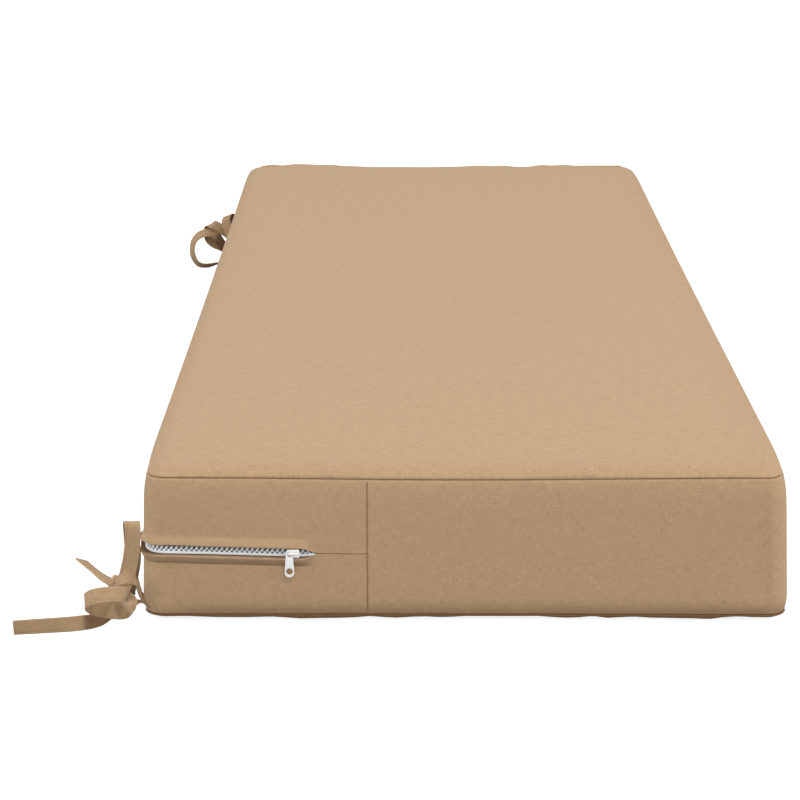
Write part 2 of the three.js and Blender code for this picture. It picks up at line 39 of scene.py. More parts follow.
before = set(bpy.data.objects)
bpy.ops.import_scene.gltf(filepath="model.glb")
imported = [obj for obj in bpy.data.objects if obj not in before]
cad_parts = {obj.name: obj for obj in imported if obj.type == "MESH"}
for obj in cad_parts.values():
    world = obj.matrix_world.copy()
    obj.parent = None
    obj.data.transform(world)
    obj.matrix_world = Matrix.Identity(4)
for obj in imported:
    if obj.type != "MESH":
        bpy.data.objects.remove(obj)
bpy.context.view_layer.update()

# Cushion, in metres
LENGTH = 1.2
WIDTH = 0.5
LOWER_SEAM = 0.0054
UPPER_SEAM = 0.1179
CORNER_RADIUS = 0.018
CORNER_SPREAD = 0.35
SIDE_DRAW = 0.0014
END_DRAW = 0.0006
SEAM_SAG = 0.0018
SEAM_INSET = 0.0021
LOWER_SEAM_INSET = 0.0018
ROUNDED_RIM = 0.020

# Settling of the filled cushion: its long sides spread at the floor and lean in above it, and its
# upper corners are pulled in. The leans are for each metre of height.
SPREAD_LEFT = 0.0024
SPREAD_RIGHT = 0.0048
LEAN_LEFT = 0.036
LEAN_RIGHT = 0.056
LEAN_TOP = 0.102
SPREAD_FROM = 0.130
CORNER_PULL = 0.0022
CORNER_PULL_LENGTH = 0.045
CORNER_PULL_FROM = 0.102
CORNER_DIP = 0.002
CORNER_DIP_LENGTH = 0.040
CORNER_DIP_RISE = 0.006

# Zip, in metres
ZIP_HEIGHT = 0.060
ZIP_DROP = 0.0035
ZIP_TIP = -0.1144
ZIP_TAPER = 0.012
PANEL_SEAM = -0.0755
PANEL_SEAM_DEPTH = 0.0012
SLOT_HALF = 0.0042
SLOT_DEPTH = 0.0032
SLIT_HALF = 0.0005
SLIT_DEPTH = 0.0014
TAPE_CLEAR = 0.0003
TOOTH_PITCH = 0.0039
TOOTH_WIDTH = 0.0019
TOOTH_DEPTH = 0.0017
TOOTH_FLOOR = 0.0018
TOOTH_SLANT = math.radians(30)
STITCH_PITCH = 0.0031
STITCH_SIZE = (0.0022, 0.0005, 0.00055)
STITCH_DROP = 0.0104
STITCH_DEPTH = -0.00005
CORNER_SLOT_PLACE = (-0.2485, -0.589)
CORNER_SLOT_REACH = 0.013
CORNER_SLOT_DEPTH = 0.0009
TUCK_PLACE = 0.566
TUCK_LENGTH = 0.010
TUCK_RISE = 0.0062
TUCK_OUT = 0.0022

# Slider and pull tab, in metres
SLIDER_X = -0.1324
SLIDER_LENGTH = 0.0093
SLIDER_HEIGHT = 0.0072
SLIDER_FACE = 0.0024
BRIDGE_WIDTH = 0.0015
BRIDGE_TOP = 0.0057
BRIDGE_RISE = 0.0011
PULL_BACK = 0.00295
PULL_THICKNESS = 0.0012
PULL_LENGTH = 0.0223
PULL_WIDTH = 0.0074
PULL_NECK = 0.0052
PULL_HOLE_RADIUS = 0.0027
PULL_EYE_RADIUS = 0.0013
PULL_HOLE_RISE = 0.001
PULL_EYE_DROP = 0.0019

# Tie straps, in metres
STRAP_WIDTH = 0.012
STRAP_THICKNESS = 0.0013
STRAP_STEPS = 10

# The four sides in turn, near, right, far and left, seen from above against the clock
SIDES = (
    {"along": (1, 0), "out": (0, -1), "half": WIDTH / 2, "reach": LENGTH / 2, "draw": END_DRAW},
    {"along": (0, 1), "out": (1, 0), "half": LENGTH / 2, "reach": WIDTH / 2, "draw": SIDE_DRAW},
    {"along": (-1, 0), "out": (0, 1), "half": WIDTH / 2, "reach": LENGTH / 2, "draw": END_DRAW},
    {"along": (0, -1), "out": (-1, 0), "half": LENGTH / 2, "reach": WIDTH / 2, "draw": SIDE_DRAW},
)
NEAR, FAR, LEFT = 0, 2, 3

# Routes of the straps: the middle of the strap in millimetres, and the direction of its width
NEAR_STRAP_TALL = (
    # x, y, z, wx, wy, wz
    (-246.5, -590, 9.2, 0, 0.96, -0.26),
    (-251, -590.5, 12.9, 0, 0.96, -0.25),
    (-254.8, -591, 13.4, 0.05, 0.96, -0.24),
    (-258.6, -593, 15.1, 0.3, 0.9, -0.15),
    (-261.1, -599, 20.3, 0.75, 0.6, 0.1),
    (-260.5, -606, 29.1, 0.97, 0.25, 0),
    (-258.3, -610, 39, 1, 0.2, -0.1),
    (-254.9, -612, 57.2, 1, 0.2, 0),
    (-255.3, -613, 75.6, 1, 0.1, 0),
    (-255.1, -616, 87.4, 1, 0.02, 0),
    (-254.1, -619.5, 90.4, 1, 0, 0),
    (-253, -623, 89, 1, 0, 0),
    (-253.6, -624, 73.4, 1, 0, 0.02),
    (-256.8, -623.5, 55.2, 1, 0, 0.12),
    (-261.9, -624, 39.8, 1, -0.1, 0.35),
    (-268.9, -621, 26.1, 0.8, -0.2, 0.6),
    (-275, -619, 16.2, 0.55, -0.05, 0.85),
    (-283.3, -619, 9.6, 0.15, 0, 1),
    (-298.8, -622, 7.9, 0, 0.2, 1),
    (-326.1, -625, 7.0, 0, 0.1, 1),
    (-347.1, -627, 6.4, 0, 0, 1),
)
NEAR_STRAP_RING = (
    # x, y, z, wx, wy, wz
    (-249.5, -572, 7, -0.59, 0.41, 0.69),
    (-251.2, -586, 13.8, -0.38, 0.54, 0.75),
    (-252.4, -593, 20.7, -0.16, 0.71, 0.68),
    (-252.9, -600, 28, -0.07, 0.71, 0.7),
    (-253.1, -608, 35.7, -0.08, 0.67, 0.74),
    (-253.6, -615, 41.6, -0.25, 0.75, 0.6),
    (-254.6, -622, 45.9, -0.15, 0.83, 0.54),
    (-256.3, -628, 48.7, -0.05, 0.85, 0.52),
    (-258.8, -631, 49, -0.05, 0.9, 0.42),
    (-262.4, -631, 47.7, -0.1, 0.93, 0.33),
    (-266.1, -628, 43.6, -0.1, 0.8, 0.55),
    (-268.1, -619, 34.8, 0.1, 0.5, 0.85),
    (-263.2, -616.5, 31.2, 0.2, 0.3, 0.9),
    (-258.3, -623, 33.9, 0.45, 0.2, 0.85),
    (-259.5, -634, 37.1, 0.34, 0.42, 1),
    (-265.3, -639, 39.3, 0.1, 0.5, 1),
    (-276, -640, 38.8, -0.03, 0.52, 1),
    (-284.6, -638, 36.1, -0.1, 0.52, 1),
    (-290.1, -632, 29.9, -0.1, 0.55, 1),
    (-286.8, -626, 23.6, -0.05, 0.5, 0.95),
    (-281.8, -624.5, 21.1, 0, 0.5, 0.9),
    (-275, -624, 19.5, 0.02, 0.3, 1),
    (-267.3, -624, 18.5, 0, 0.3, 1),
    (-261.5, -624.5, 19.3, -0.1, 0.25, 1),
    (-258.6, -625, 23.2, -0.55, 0.25, 0.78),
    (-256.6, -623.5, 26.5, -0.85, 0.5, 0),
    (-258.7, -621, 29.3, -0.55, 0.6, -0.55),
    (-262.9, -619, 31.1, -0.5, 0.2, -0.8),
    (-265.3, -617, 35.3, -0.8, 0, -0.5),
    (-268.8, -618, 39.8, -0.6, -0.4, -0.5),
    (-273.7, -618, 41.8, -0.72, -0.5, 0.2),
    (-286.3, -606, 45.4, -0.65, -0.62, 0.42),
    (-298.2, -590, 47.7, -0.62, -0.66, 0.42),
)
FAR_STRAP_RING = (
    # x, y, z, wx, wy, wz
    (-250.2, 556, 5.8, 0, 1, 0),
    (-266.4, 549, 8, 0, 0.95, -0.2),
    (-286, 545.5, 6.8, 0, 0.9, -0.38),
    (-300.6, 543, 4.2, -0.05, 0.8, -0.6),
    (-311.3, 542.6, 6.3, -0.3, 0.7, -0.6),
    (-317.6, 544, 15.3, -0.62, 0.75, -0.25),
    (-319.1, 546, 25.3, -0.55, 0.83, 0),
    (-316.6, 548, 35.6, -0.5, 0.78, 0.3),
    (-310.2, 547, 42.9, -0.3, 0.75, 0.55),
    (-300.9, 545, 46.8, -0.1, 0.7, 0.7),
    (-292.5, 543, 47.1, 0.1, 0.35, 0.93),
    (-287.2, 542, 43.4, 0.2, 0.1, 0.98),
    (-283.1, 547, 34.3, 0.2, -0.15, 1),
    (-277.2, 554, 24, 0, -0.1, 1),
    (-268.3, 560, 14.7, -0.4, 0.3, 0.9),
    (-257.3, 566, 6.3, -0.8, 0.6, 0.3),
)
FAR_STRAP_WRAP = (
    # x, y, z, wx, wy, wz
    (-250.6, 562, 5.7, 0, 1, 0),
    (-255.8, 567, 21.7, 0.5, 1, 0),
    (-259.3, 568, 39.9, 0.8, 0.6, 0),
    (-265.9, 566, 54.9, 0.95, -0.25, 0.1),
    (-268.1, 562, 63.9, 0.95, -0.2, 0.2),
    (-272.2, 556, 67, 0.85, -0.3, 0.42),
    (-275.4, 549, 62.9, 0.88, -0.35, 0.25),
    (-273.5, 543, 54.8, 0.98, 0, 0.15),
    (-269.8, 539, 46, 0.95, 0, 0.3),
    (-266.6, 538, 39.7, 0.7, 0, 0.7),
    (-266.5, 544, 40.2, 0.4, 0.1, 0.9),
    (-272.3, 546, 45, 0.5, 0.25, 0.83),
    (-279.1, 545, 50.2, 0.5, 0.3, 0.81),
    (-285.2, 543, 55, 0.5, 0.35, 0.79),
    (-290.8, 543, 57.9, 0.55, 0.5, 0.67),
    (-295.4, 547, 57, 0.85, 0.3, 0.42),
    (-297.8, 551, 51, 0.98, 0.1, 0.1),
    (-298.2, 552, 44.3, 0.98, 0.1, 0.1),
    (-297.1, 552, 37, 0.93, 0.1, 0.3),
    (-291.3, 552, 31.3, 0.65, 0.1, 0.72),
    (-282.3, 553, 27.1, 0.42, 0.1, 0.88),
    (-270.4, 555, 19.9, 0.35, 0.1, 0.93),
)

# Section of the cushion, as rows from the middle of its underside out, up its side and in again.
# Columns: distance in from the outline, height, and share of the seam's waves, in millimetres
UNDERSIDE = (
    (225, 0, 0), (190, 0, 0), (150, 0, 0), (115, 0, 0), (85, 0, 0), (62, 0, 0), (44, 0, 0), (32, 0, 0),
    (24, 0.02, 0), (18, 0.08, 0.1), (14, 0.18, 0.2), (11, 0.38, 0.4), (9, 0.7, 0.6), (7.5, 1.15, 0.8),
    (6.2, 1.8, 0.9), (5.1, 2.55, 1), (4.2, 3.1, 1), (3.4, 3.5, 0.9), (2.7, 3.75, 0.7), (2.2, 3.95, 0.5),
)
TOP = (
    (2.9, 119.9, 0.5), (3.7, 120.8, 1), (4.6, 121.6, 1), (5.6, 122.4, 1), (6.9, 123.3, 1),
    (8.4, 124.15, 1), (10.3, 124.95, 1), (12.5, 125.6, 0.9), (15, 126.1, 0.7), (18, 126.5, 0.5),
    (22, 126.75, 0.35), (28, 126.9, 0.2), (36, 127.0, 0.1), (46, 127.05, 0), (58, 127.15, 0),
    (72, 127.2, 0), (90, 127.3, 0), (110, 127.35, 0), (132, 127.4, 0), (156, 127.45, 0), (180, 127.5, 0),
    (204, 127.5, 0), (228, 127.5, 0),
)
# Seam: height over the seam's own, inset past the seam's, and how dark the fold is
SEAM = (
    (-1.3, -0.15, 0), (-0.8, 0.1, 0), (-0.4, 0.55, 0.3), (-0.1, 1.3, 1), (0.1, 1.3, 1), (0.35, 0.5, 0.3),
    (0.8, 0.05, 0),
)
# Boxing below the zip: height, inset and darkness of painted shade, which grows towards the floor. Above it:
# height and inset.
LOW_BOXING = (
    (7.4, 1.75, 0.45), (8.6, 1.35, 0.4), (10, 1.0, 0.34), (11.5, 0.7, 0.27), (13.5, 0.4, 0.16),
    (16, 0.15, 0.06), (20, 0.03, 0), (26, 0, 0), (32, 0, 0), (38, 0, 0),
)
HIGH_BOXING = (
    (78, 0), (84, 0), (90, 0), (96, 0.05), (101, 0.2), (105.5, 0.4), (109.5, 0.75), (112.5, 1.15),
    (115.4, 1.6),
)
# Lip of the zip: rise over or under the zip's middle, how far it stands out, and darkness of painted shade on
# the lower lip, in the slot and in the groove of its sewn line.
# Rises up to the slot's half height close with the zip, and the others stay.
UPPER_LIP = (
    (16, 0, 0), (13.6, 0, 0), (12.6, 0, 0), (11.9, 0.03, 0), (11.2, 0.15, 0), (10.4, 0.42, 0),
    (9.5, 0.85, 0), (8.4, 1.4, 0), (7.2, 1.95, 0), (6.0, 2.45, 0), (5.0, 2.75, 0), (4.5, 2.65, 0),
    (4.25, 2.2, 0.3), (4.2, 1.2, 0.6), (4.2, -1.0, 0.9), (4.2, -3.2, 1), (1.4, -3.2, 1),
)
LOWER_LIP = (
    (16, 0, 0), (13.0, 0, 0), (11.8, 0, 0), (11.1, -0.2, 0.3), (10.6, -0.3, 0.8), (10.1, 0.05, 0.5),
    (9.3, 0.55, 0.45), (8.4, 1.1, 0.4), (7.4, 1.65, 0.35), (6.4, 2.2, 0.3), (5.4, 2.7, 0.25),
    (4.7, 3.0, 0.2), (4.3, 2.9, 0.15), (4.2, 2.3, 0.1), (4.2, 0.6, 0.4), (4.2, -3.2, 1), (1.4, -3.2, 1),
)
# Lower edge of the near end: place along X, and how far it is lifted or, where negative, how far
# it stands out, in millimetres
NEAR_HEM = (
    (-250, -0.1), (-216, 0.5), (-194, -0.5), (-172, -0.6), (-150, -0.1), (-128, -1.6), (-112, -1.3),
    (-95, -1.1), (-84, -0.6), (-73.5, 0.4), (-63, -0.5), (-52, -1), (-41, -0.2), (-30, 0.1), (-19, -0.5),
    (-8, -0.2), (3, 0.7), (14, 1), (30, 0.5), (57, 0.8), (69, -0.3), (80, -0.9), (90, -0.5), (101, 0.7),
    (112, -1), (123, -0.3), (134, 0.2), (145, -0.7), (162, -1), (178, -1.2), (189, -1.8), (200, -0.2),
    (211, 0.7), (222, 0), (250, -0.3),
)
# Upper edge of the far end: place along X, and how far it is lifted, in millimetres and before FAR_RIM_LIFT
FAR_RIM = (
    (-237, 0), (-221, 1.5), (-205, 0.3), (-189, 1.4), (-158, 1.0), (-142, 1.7), (-126, 0.6), (-110, 0.1),
    (-95, -0.4), (16, -0.4), (32, 0.3), (47, 1.2), (63, 0.8), (79, 1.2), (95, 0.1), (110, -0.4),
    (126, 1.0), (142, 0.5), (158, 1.2), (174, 0.2), (205, 0.5), (237, 1.2),
)
HEM_BULGE = 2.8
FAR_RIM_LIFT = 1.4
FAR_RIM_WIDTH = 0.030

# Painted shade of the straps along their routes: row of the route, slant of the crease there, and darkness
NEAR_TALL_SHADE = (
    (0, 0, 0.8), (2, 0, 0.9), (4, 0, 1.4), (6.5, 0, 1.3), (8.5, 0, 1.0), (9.5, 0, 0.8), (10, 0, 0),
    (10.5, 0, 0.08), (15.5, 0, 0.1), (16.2, 0, 1), (17.6, 0, 1), (17.75, 0, 0.1), (18.5, 0, 0.22),
    (20, 0, 0.25),
)
NEAR_RING_SHADE = (
    (0, 0, 0.5), (5, 0, 0.2), (6, 0, 0), (7, 0, 0.3), (10, 0, 0.2), (11, 0, 0.9), (13, 0, 0.7),
    (13.7, 0, 0), (18.4, 0, 0), (18.9, 0, 0.45), (20, 0, 0.4), (21.15, 0.3, 0.6), (21.2, 0.3, 0.05),
    (21.85, -0.35, 0), (21.9, -0.35, 0.6), (23.4, 0, 0.45), (23.6, 0, 0.05), (25, 0, 0), (25.8, 0, 0.3),
    (26.5, 0, 1.2), (28.5, 0, 1), (29.5, 0, 0), (32, 0, 0),
)
FAR_RING_SHADE = (
    (0, 0, 0.9), (3, 0, 0.5), (5, 0, 0.2), (8, 0, 0), (9, 0, 0.1), (11, 0, 0.9), (13, 0, 1.1),
    (15, 0, 1.1),
)
FAR_WRAP_SHADE = (
    (0, 0, 1), (4, 0, 0.8), (6, 0, 0.2), (9, 0, 0.3), (12, 0, 0), (17, 0, 0.1), (19, 0, 0.1),
    (21, 0, 0.6),
)


class CushionSettings(bpy.types.PropertyGroup):
    """Sizes and colours of the cushion that a user would change"""

    cloth_colour: bpy.props.FloatVectorProperty(
        name="Cloth colour",
        description="Mean colour of the woven cover",
        subtype="COLOR",
        size=3,
        min=0.0,
        max=1.0,
        default=(0.37, 0.246, 0.140),
    )
    strap_colour: bpy.props.FloatVectorProperty(
        name="Strap colour",
        description="Mean colour of the pressed tie straps",
        subtype="COLOR",
        size=3,
        min=0.0,
        max=1.0,
        default=(0.35, 0.233, 0.132),
    )
    thread_pitch: bpy.props.FloatProperty(
        name="Thread pitch",
        description="Distance from one thread of the weave to the next",
        subtype="DISTANCE",
        unit="LENGTH",
        default=0.0006,
    )
    swell: bpy.props.FloatProperty(
        name="Swell",
        description="Most that the filling pushes the cover out between its seams",
        subtype="DISTANCE",
        unit="LENGTH",
        default=0.003,
    )
    thread_colour: bpy.props.FloatVectorProperty(
        name="Thread colour",
        description="Colour of the stitches beside the zip",
        subtype="COLOR",
        size=3,
        min=0.0,
        max=1.0,
        default=(0.22, 0.14, 0.075),
    )
    teeth_colour: bpy.props.FloatVectorProperty(
        name="Teeth colour",
        description="Colour of the zip's teeth",
        subtype="COLOR",
        size=3,
        min=0.0,
        max=1.0,
        default=(0.72, 0.74, 0.76),
    )
    # The tape's dark grey is painted shade: it stands for the shade in the gaps between the teeth
    tape_painted_shade_colour: bpy.props.FloatVectorProperty(
        name="Tape colour",
        description="Colour of the zip's woven tape",
        subtype="COLOR",
        size=3,
        min=0.0,
        max=1.0,
        default=(0.2, 0.2, 0.21),
    )
    slider_colour: bpy.props.FloatVectorProperty(
        name="Slider colour",
        description="Colour of the lacquered slider and pull tab",
        subtype="COLOR",
        size=3,
        min=0.0,
        max=1.0,
        default=(0.74, 0.74, 0.73),
    )


class StageSettings(bpy.types.PropertyGroup):
    """Camera, floor and light of the plain studio"""

    camera_place: bpy.props.FloatVectorProperty(
        name="Camera place",
        description="Where the camera stands",
        subtype="TRANSLATION",
        unit="LENGTH",
        size=3,
        default=(-0.0459, -2.1676, 0.6721),
    )
    camera_pitch: bpy.props.FloatProperty(
        name="Camera pitch",
        description="How far the camera looks down from the level",
        subtype="ANGLE",
        unit="ROTATION",
        default=math.radians(17.377),
    )
    camera_yaw: bpy.props.FloatProperty(
        name="Camera yaw",
        description="How far the camera is turned to its left",
        subtype="ANGLE",
        unit="ROTATION",
        default=math.radians(0.153),
    )
    camera_lens: bpy.props.FloatProperty(
        name="Lens",
        description="Focal length on a sensor 36 mm wide, in millimetres",
        default=97.81,
    )
    floor_shade: bpy.props.FloatProperty(
        name="Floor shade",
        description="Lightness of the floor, as the cushion's cloth sees it",
        subtype="FACTOR",
        min=0.0,
        max=1.0,
        default=0.38,
    )
    sweep_glow: bpy.props.FloatProperty(
        name="Sweep glow",
        description="Brightness of the white sweep that is lit through, as the camera sees it",
        default=0.85,
    )
    key_light: bpy.props.FloatProperty(
        name="Key light",
        description="Power of the large light high behind the camera, in watts",
        default=168.0,
    )
    right_light: bpy.props.FloatProperty(
        name="Right light",
        description="Power of the light beside the cushion's right side, in watts",
        default=60.0,
    )
    left_light: bpy.props.FloatProperty(
        name="Left light",
        description="Power of the light beside the cushion's left side, in watts",
        default=46.0,
    )
    room_light: bpy.props.FloatProperty(
        name="Room light",
        description="Strength of the even light of the room",
        default=1.065,
    )


def settings():
    return bpy.context.scene.back_cushion


def stage_settings():
    return bpy.context.scene.back_cushion_stage


# Outline and columns of the cushion

def ramp(value, low, high):
    """Goes smoothly from 0 to 1 as the value goes from low to high"""
    share = np.clip((value - low) / (high - low), 0, 1)
    return share * share * (3 - 2 * share)


def end_places(sense, spacing):
    """Places along an end, close together at the zip's tip and at the panels' seam"""
    straight = WIDTH / 2 - CORNER_RADIUS
    places = list(np.linspace(-straight, straight, round(2 * straight / spacing) + 1))
    tip = np.arange(ZIP_TIP - 1.4 * ZIP_TAPER, ZIP_TIP + 0.2 * ZIP_TAPER, 0.0015)
    seam = PANEL_SEAM + np.array((-4, -2.5, -1.4, -0.8, -0.35, 0, 0.35, 0.8, 1.4, 2.5, 4)) / 1000
    wanted = np.concatenate([tip, seam]) * sense
    places = [p for p in places if np.min(np.abs(wanted - p)) > 0.0014]
    return np.array(sorted(places + list(wanted)))


def columns_of(end_spacing, side_spacing, corner_steps):
    """Columns round the cushion: which side each is on, its place along it, and its turn into the corner"""
    index, place, turn = [], [], []
    for k, side in enumerate(SIDES):
        straight = side["half"] - CORNER_RADIUS
        if k in (NEAR, FAR):
            places = end_places(side["along"][0], end_spacing)
        else:
            places = np.linspace(-straight, straight, round(2 * straight / side_spacing) + 1)
        index += [k] * len(places)
        place += list(places)
        turn += [0.0] * len(places)
        for i in range(1, corner_steps):
            index.append(k)
            place.append(straight)
            turn.append(i / corner_steps * math.pi / 2)
    index = np.array(index)
    columns = {"index": index, "place": np.array(place), "turn": np.array(turn)}
    for name in ("along", "out", "half", "reach", "draw"):
        columns[name] = np.array([SIDES[k][name] for k in index], float)
    for name in ("out", "reach"):
        columns["next_" + name] = np.array([SIDES[(k + 1) % 4][name] for k in index], float)
    return columns


def outline_at(columns, inset):
    """Points and outward directions of the outline that lies inset inside the cushion's own"""
    inset = np.broadcast_to(inset, columns["place"].shape)
    radius = np.minimum(CORNER_RADIUS + inset * CORNER_SPREAD, WIDTH / 2 - inset - 0.001)
    radius = np.maximum(radius, 0.001)
    scale = (columns["half"] - inset - radius) / (columns["half"] - CORNER_RADIUS)
    share = columns["place"] / columns["half"]
    drawn = columns["draw"] * (1 - share ** 2) * np.cos(columns["turn"]) ** 2
    depth = columns["reach"] - inset - drawn
    straight = columns["along"] * (columns["place"] * scale)[:, None] + columns["out"] * depth[:, None]
    cos, sin = np.cos(columns["turn"])[:, None], np.sin(columns["turn"])[:, None]
    normal = columns["out"] * cos + columns["next_out"] * sin
    centre = columns["out"] * (columns["reach"] - inset - radius)[:, None]
    centre = centre + columns["next_out"] * (columns["next_reach"] - inset - radius)[:, None]
    corner = centre + normal * radius[:, None]
    turned = (columns["turn"] > 0)[:, None]
    return np.where(turned, corner, straight), np.where(turned, normal, columns["out"])


def zip_of(columns, rim):
    """How open the zip is at each column, the height of its middle, and where only its slit runs"""
    end = np.isin(columns["index"], (NEAR, FAR))
    share = np.where(end, 1 - ramp(rim[:, 0], ZIP_TIP - ZIP_TAPER, ZIP_TIP), 0.0)
    share = np.where(columns["index"] == LEFT, 1.0, share)
    turned = columns["turn"] > 0
    share = np.where(turned, np.isin(columns["index"], (FAR, LEFT)) * 1.0, share)
    drop = ZIP_DROP * ramp(rim[:, 0], -WIDTH / 2, PANEL_SEAM)
    height = ZIP_HEIGHT - np.where(end, drop, 0)
    slit = end & ~turned & (rim[:, 0] < PANEL_SEAM)
    return share, height, slit


def corner_depth(x, y):
    """How much deeper the slot is round the near left corner"""
    away = np.hypot(x - CORNER_SLOT_PLACE[0], y - CORNER_SLOT_PLACE[1]) / CORNER_SLOT_REACH
    return CORNER_SLOT_DEPTH * np.exp(-(away ** 2))


def waves(rim, sizes):
    """Slow waves along the seams. sizes: strength and two lengths in millimetres, and a phase"""
    total = np.zeros(len(rim))
    for strength, x_length, y_length, phase in sizes:
        total += strength * np.sin(rim[:, 0] * 1000 / x_length + rim[:, 1] * 1000 / y_length + phase)
    return total / 1000


TOP_WAVES = ((0.4, 31, 43, 0.4), (0.28, -17, 23, 1.9), (0.16, 9.5, -12, 0.2))
LOW_WAVES = ((0.55, 26, 37, 2.2), (0.35, -13, 19, 0.5), (0.15, 7.5, -11, 1.2))


def end_sag(columns, rim):
    end = np.isin(columns["index"], (NEAR, FAR))
    return np.where(end, SEAM_SAG * np.cos(rim[:, 0] / WIDTH * math.pi) ** 2, 0)


def settled(points):
    """Where points of the cover go once the filled cushion has settled"""
    x, y, z = points[..., 0], points[..., 1], points[..., 2]
    side = ramp(np.abs(x), SPREAD_FROM, WIDTH / 2)
    leaning = np.where(x < 0, SPREAD_LEFT - LEAN_LEFT * z, SPREAD_RIGHT - LEAN_RIGHT * z)
    spread = leaning * (1 - ramp(z, LEAN_TOP, UPPER_SEAM))
    from_end = (LENGTH / 2 - np.abs(y)) / CORNER_PULL_LENGTH
    pull = CORNER_PULL * np.exp(-(from_end ** 2)) * ramp(z, CORNER_PULL_FROM, UPPER_SEAM)
    from_corner = np.hypot(WIDTH / 2 - np.abs(x), LENGTH / 2 - np.abs(y)) / CORNER_DIP_LENGTH
    dip = CORNER_DIP * np.exp(-(from_corner ** 2)) * ramp(z - UPPER_SEAM, 0, CORNER_DIP_RISE)
    return np.stack([x + np.sign(x) * side * (spread - pull), y, z - dip], axis=-1)


def arc_length(points):
    steps = np.linalg.norm(np.roll(points, -1, axis=0) - points, axis=1)
    return np.concatenate([[0], np.cumsum(steps)])


# Meshes

def new_object(name, mesh):
    obj = bpy.data.objects.new(name, mesh)
    bpy.context.scene.collection.objects.link(obj)
    return obj


def mesh_of(name, vertices, faces, uvs=None, shades=None):
    """Mesh that may have a weave map, a value for each corner, and painted shade, a value for each point"""
    mesh = bpy.data.meshes.new(name)
    mesh.from_pydata([tuple(v) for v in vertices], [], [tuple(int(i) for i in f) for f in faces])
    if uvs is not None:
        layer = mesh.uv_layers.new(name="weave")
        layer.data.foreach_set("uv", np.asarray(uvs, np.float32).ravel())
    if shades is not None:
        attribute = mesh.attributes.new("painted_shade", "FLOAT", "POINT")
        attribute.data.foreach_set("value", np.asarray(shades, np.float32))
    mesh.update()
    mesh.shade_smooth()
    return mesh


def select_only(obj):
    bpy.ops.object.select_all(action="DESELECT")
    obj.select_set(True)
    bpy.context.view_layer.objects.active = obj


def apply_modifiers(obj):
    select_only(obj)
    for modifier in list(obj.modifiers):
        bpy.ops.object.modifier_apply(modifier=modifier.name)


# Filling: the cover of a slightly smaller cushion is blown out and held at its seams. Sizes in metres.
FORM_TOP = 0.1208
VOXEL = 0.006
SEAM_BAND = 0.004
PRESSURE = 4
LAST_FRAME = 20


def plain_rows(columns, rim):
    """Rows of the plain cushion, without zip or seams, from the middle of the underside to that of the top"""
    sag = end_sag(columns, rim)
    rows = [(190, 0), (80, 0), (26, 0), (12, 0.4), (6, 1.3), (3.5, 3), (2.4, 5.5), (2.1, 7.5), (2.4, 10)]
    rows += [(2.6, 16)]
    rows += [(2.6, z) for z in (28, 44, 60, 76, 92)]
    rows += [(2.6, 106), (2.4, 114), (2.1, 118.5), (3.6, 120), (8, 120.6)]
    rows += [(inset, FORM_TOP * 1000) for inset in (16, 40, 90, 190)]
    result = []
    for inset, height in rows:
        lowered = np.where(height > 100, sag, 0)
        result.append((np.full(len(rim), inset / 1000), height / 1000 - lowered))
    return result


def ring_points(columns, inset, height):
    """Points of one row: within the rounded rim it follows the outline, further in a smaller outline"""
    within = float(np.mean(inset)) > ROUNDED_RIM
    base, normal = outline_at(columns, inset if within else 0)
    back = 0 if within else np.asarray(inset)[:, None]
    flat = base - normal * back
    return np.column_stack([flat, np.broadcast_to(height, len(flat))])


def closed_faces(row_count, count):
    faces = []
    for r in range(row_count - 1):
        a = r * count + np.arange(count)
        b = r * count + (np.arange(count) + 1) % count
        faces.append(np.column_stack([a, b, b + count, a + count]))
    return np.concatenate(faces)


def read_points(mesh):
    values = np.empty(len(mesh.vertices) * 3)
    mesh.vertices.foreach_get("co", values)
    return values.reshape(-1, 3)


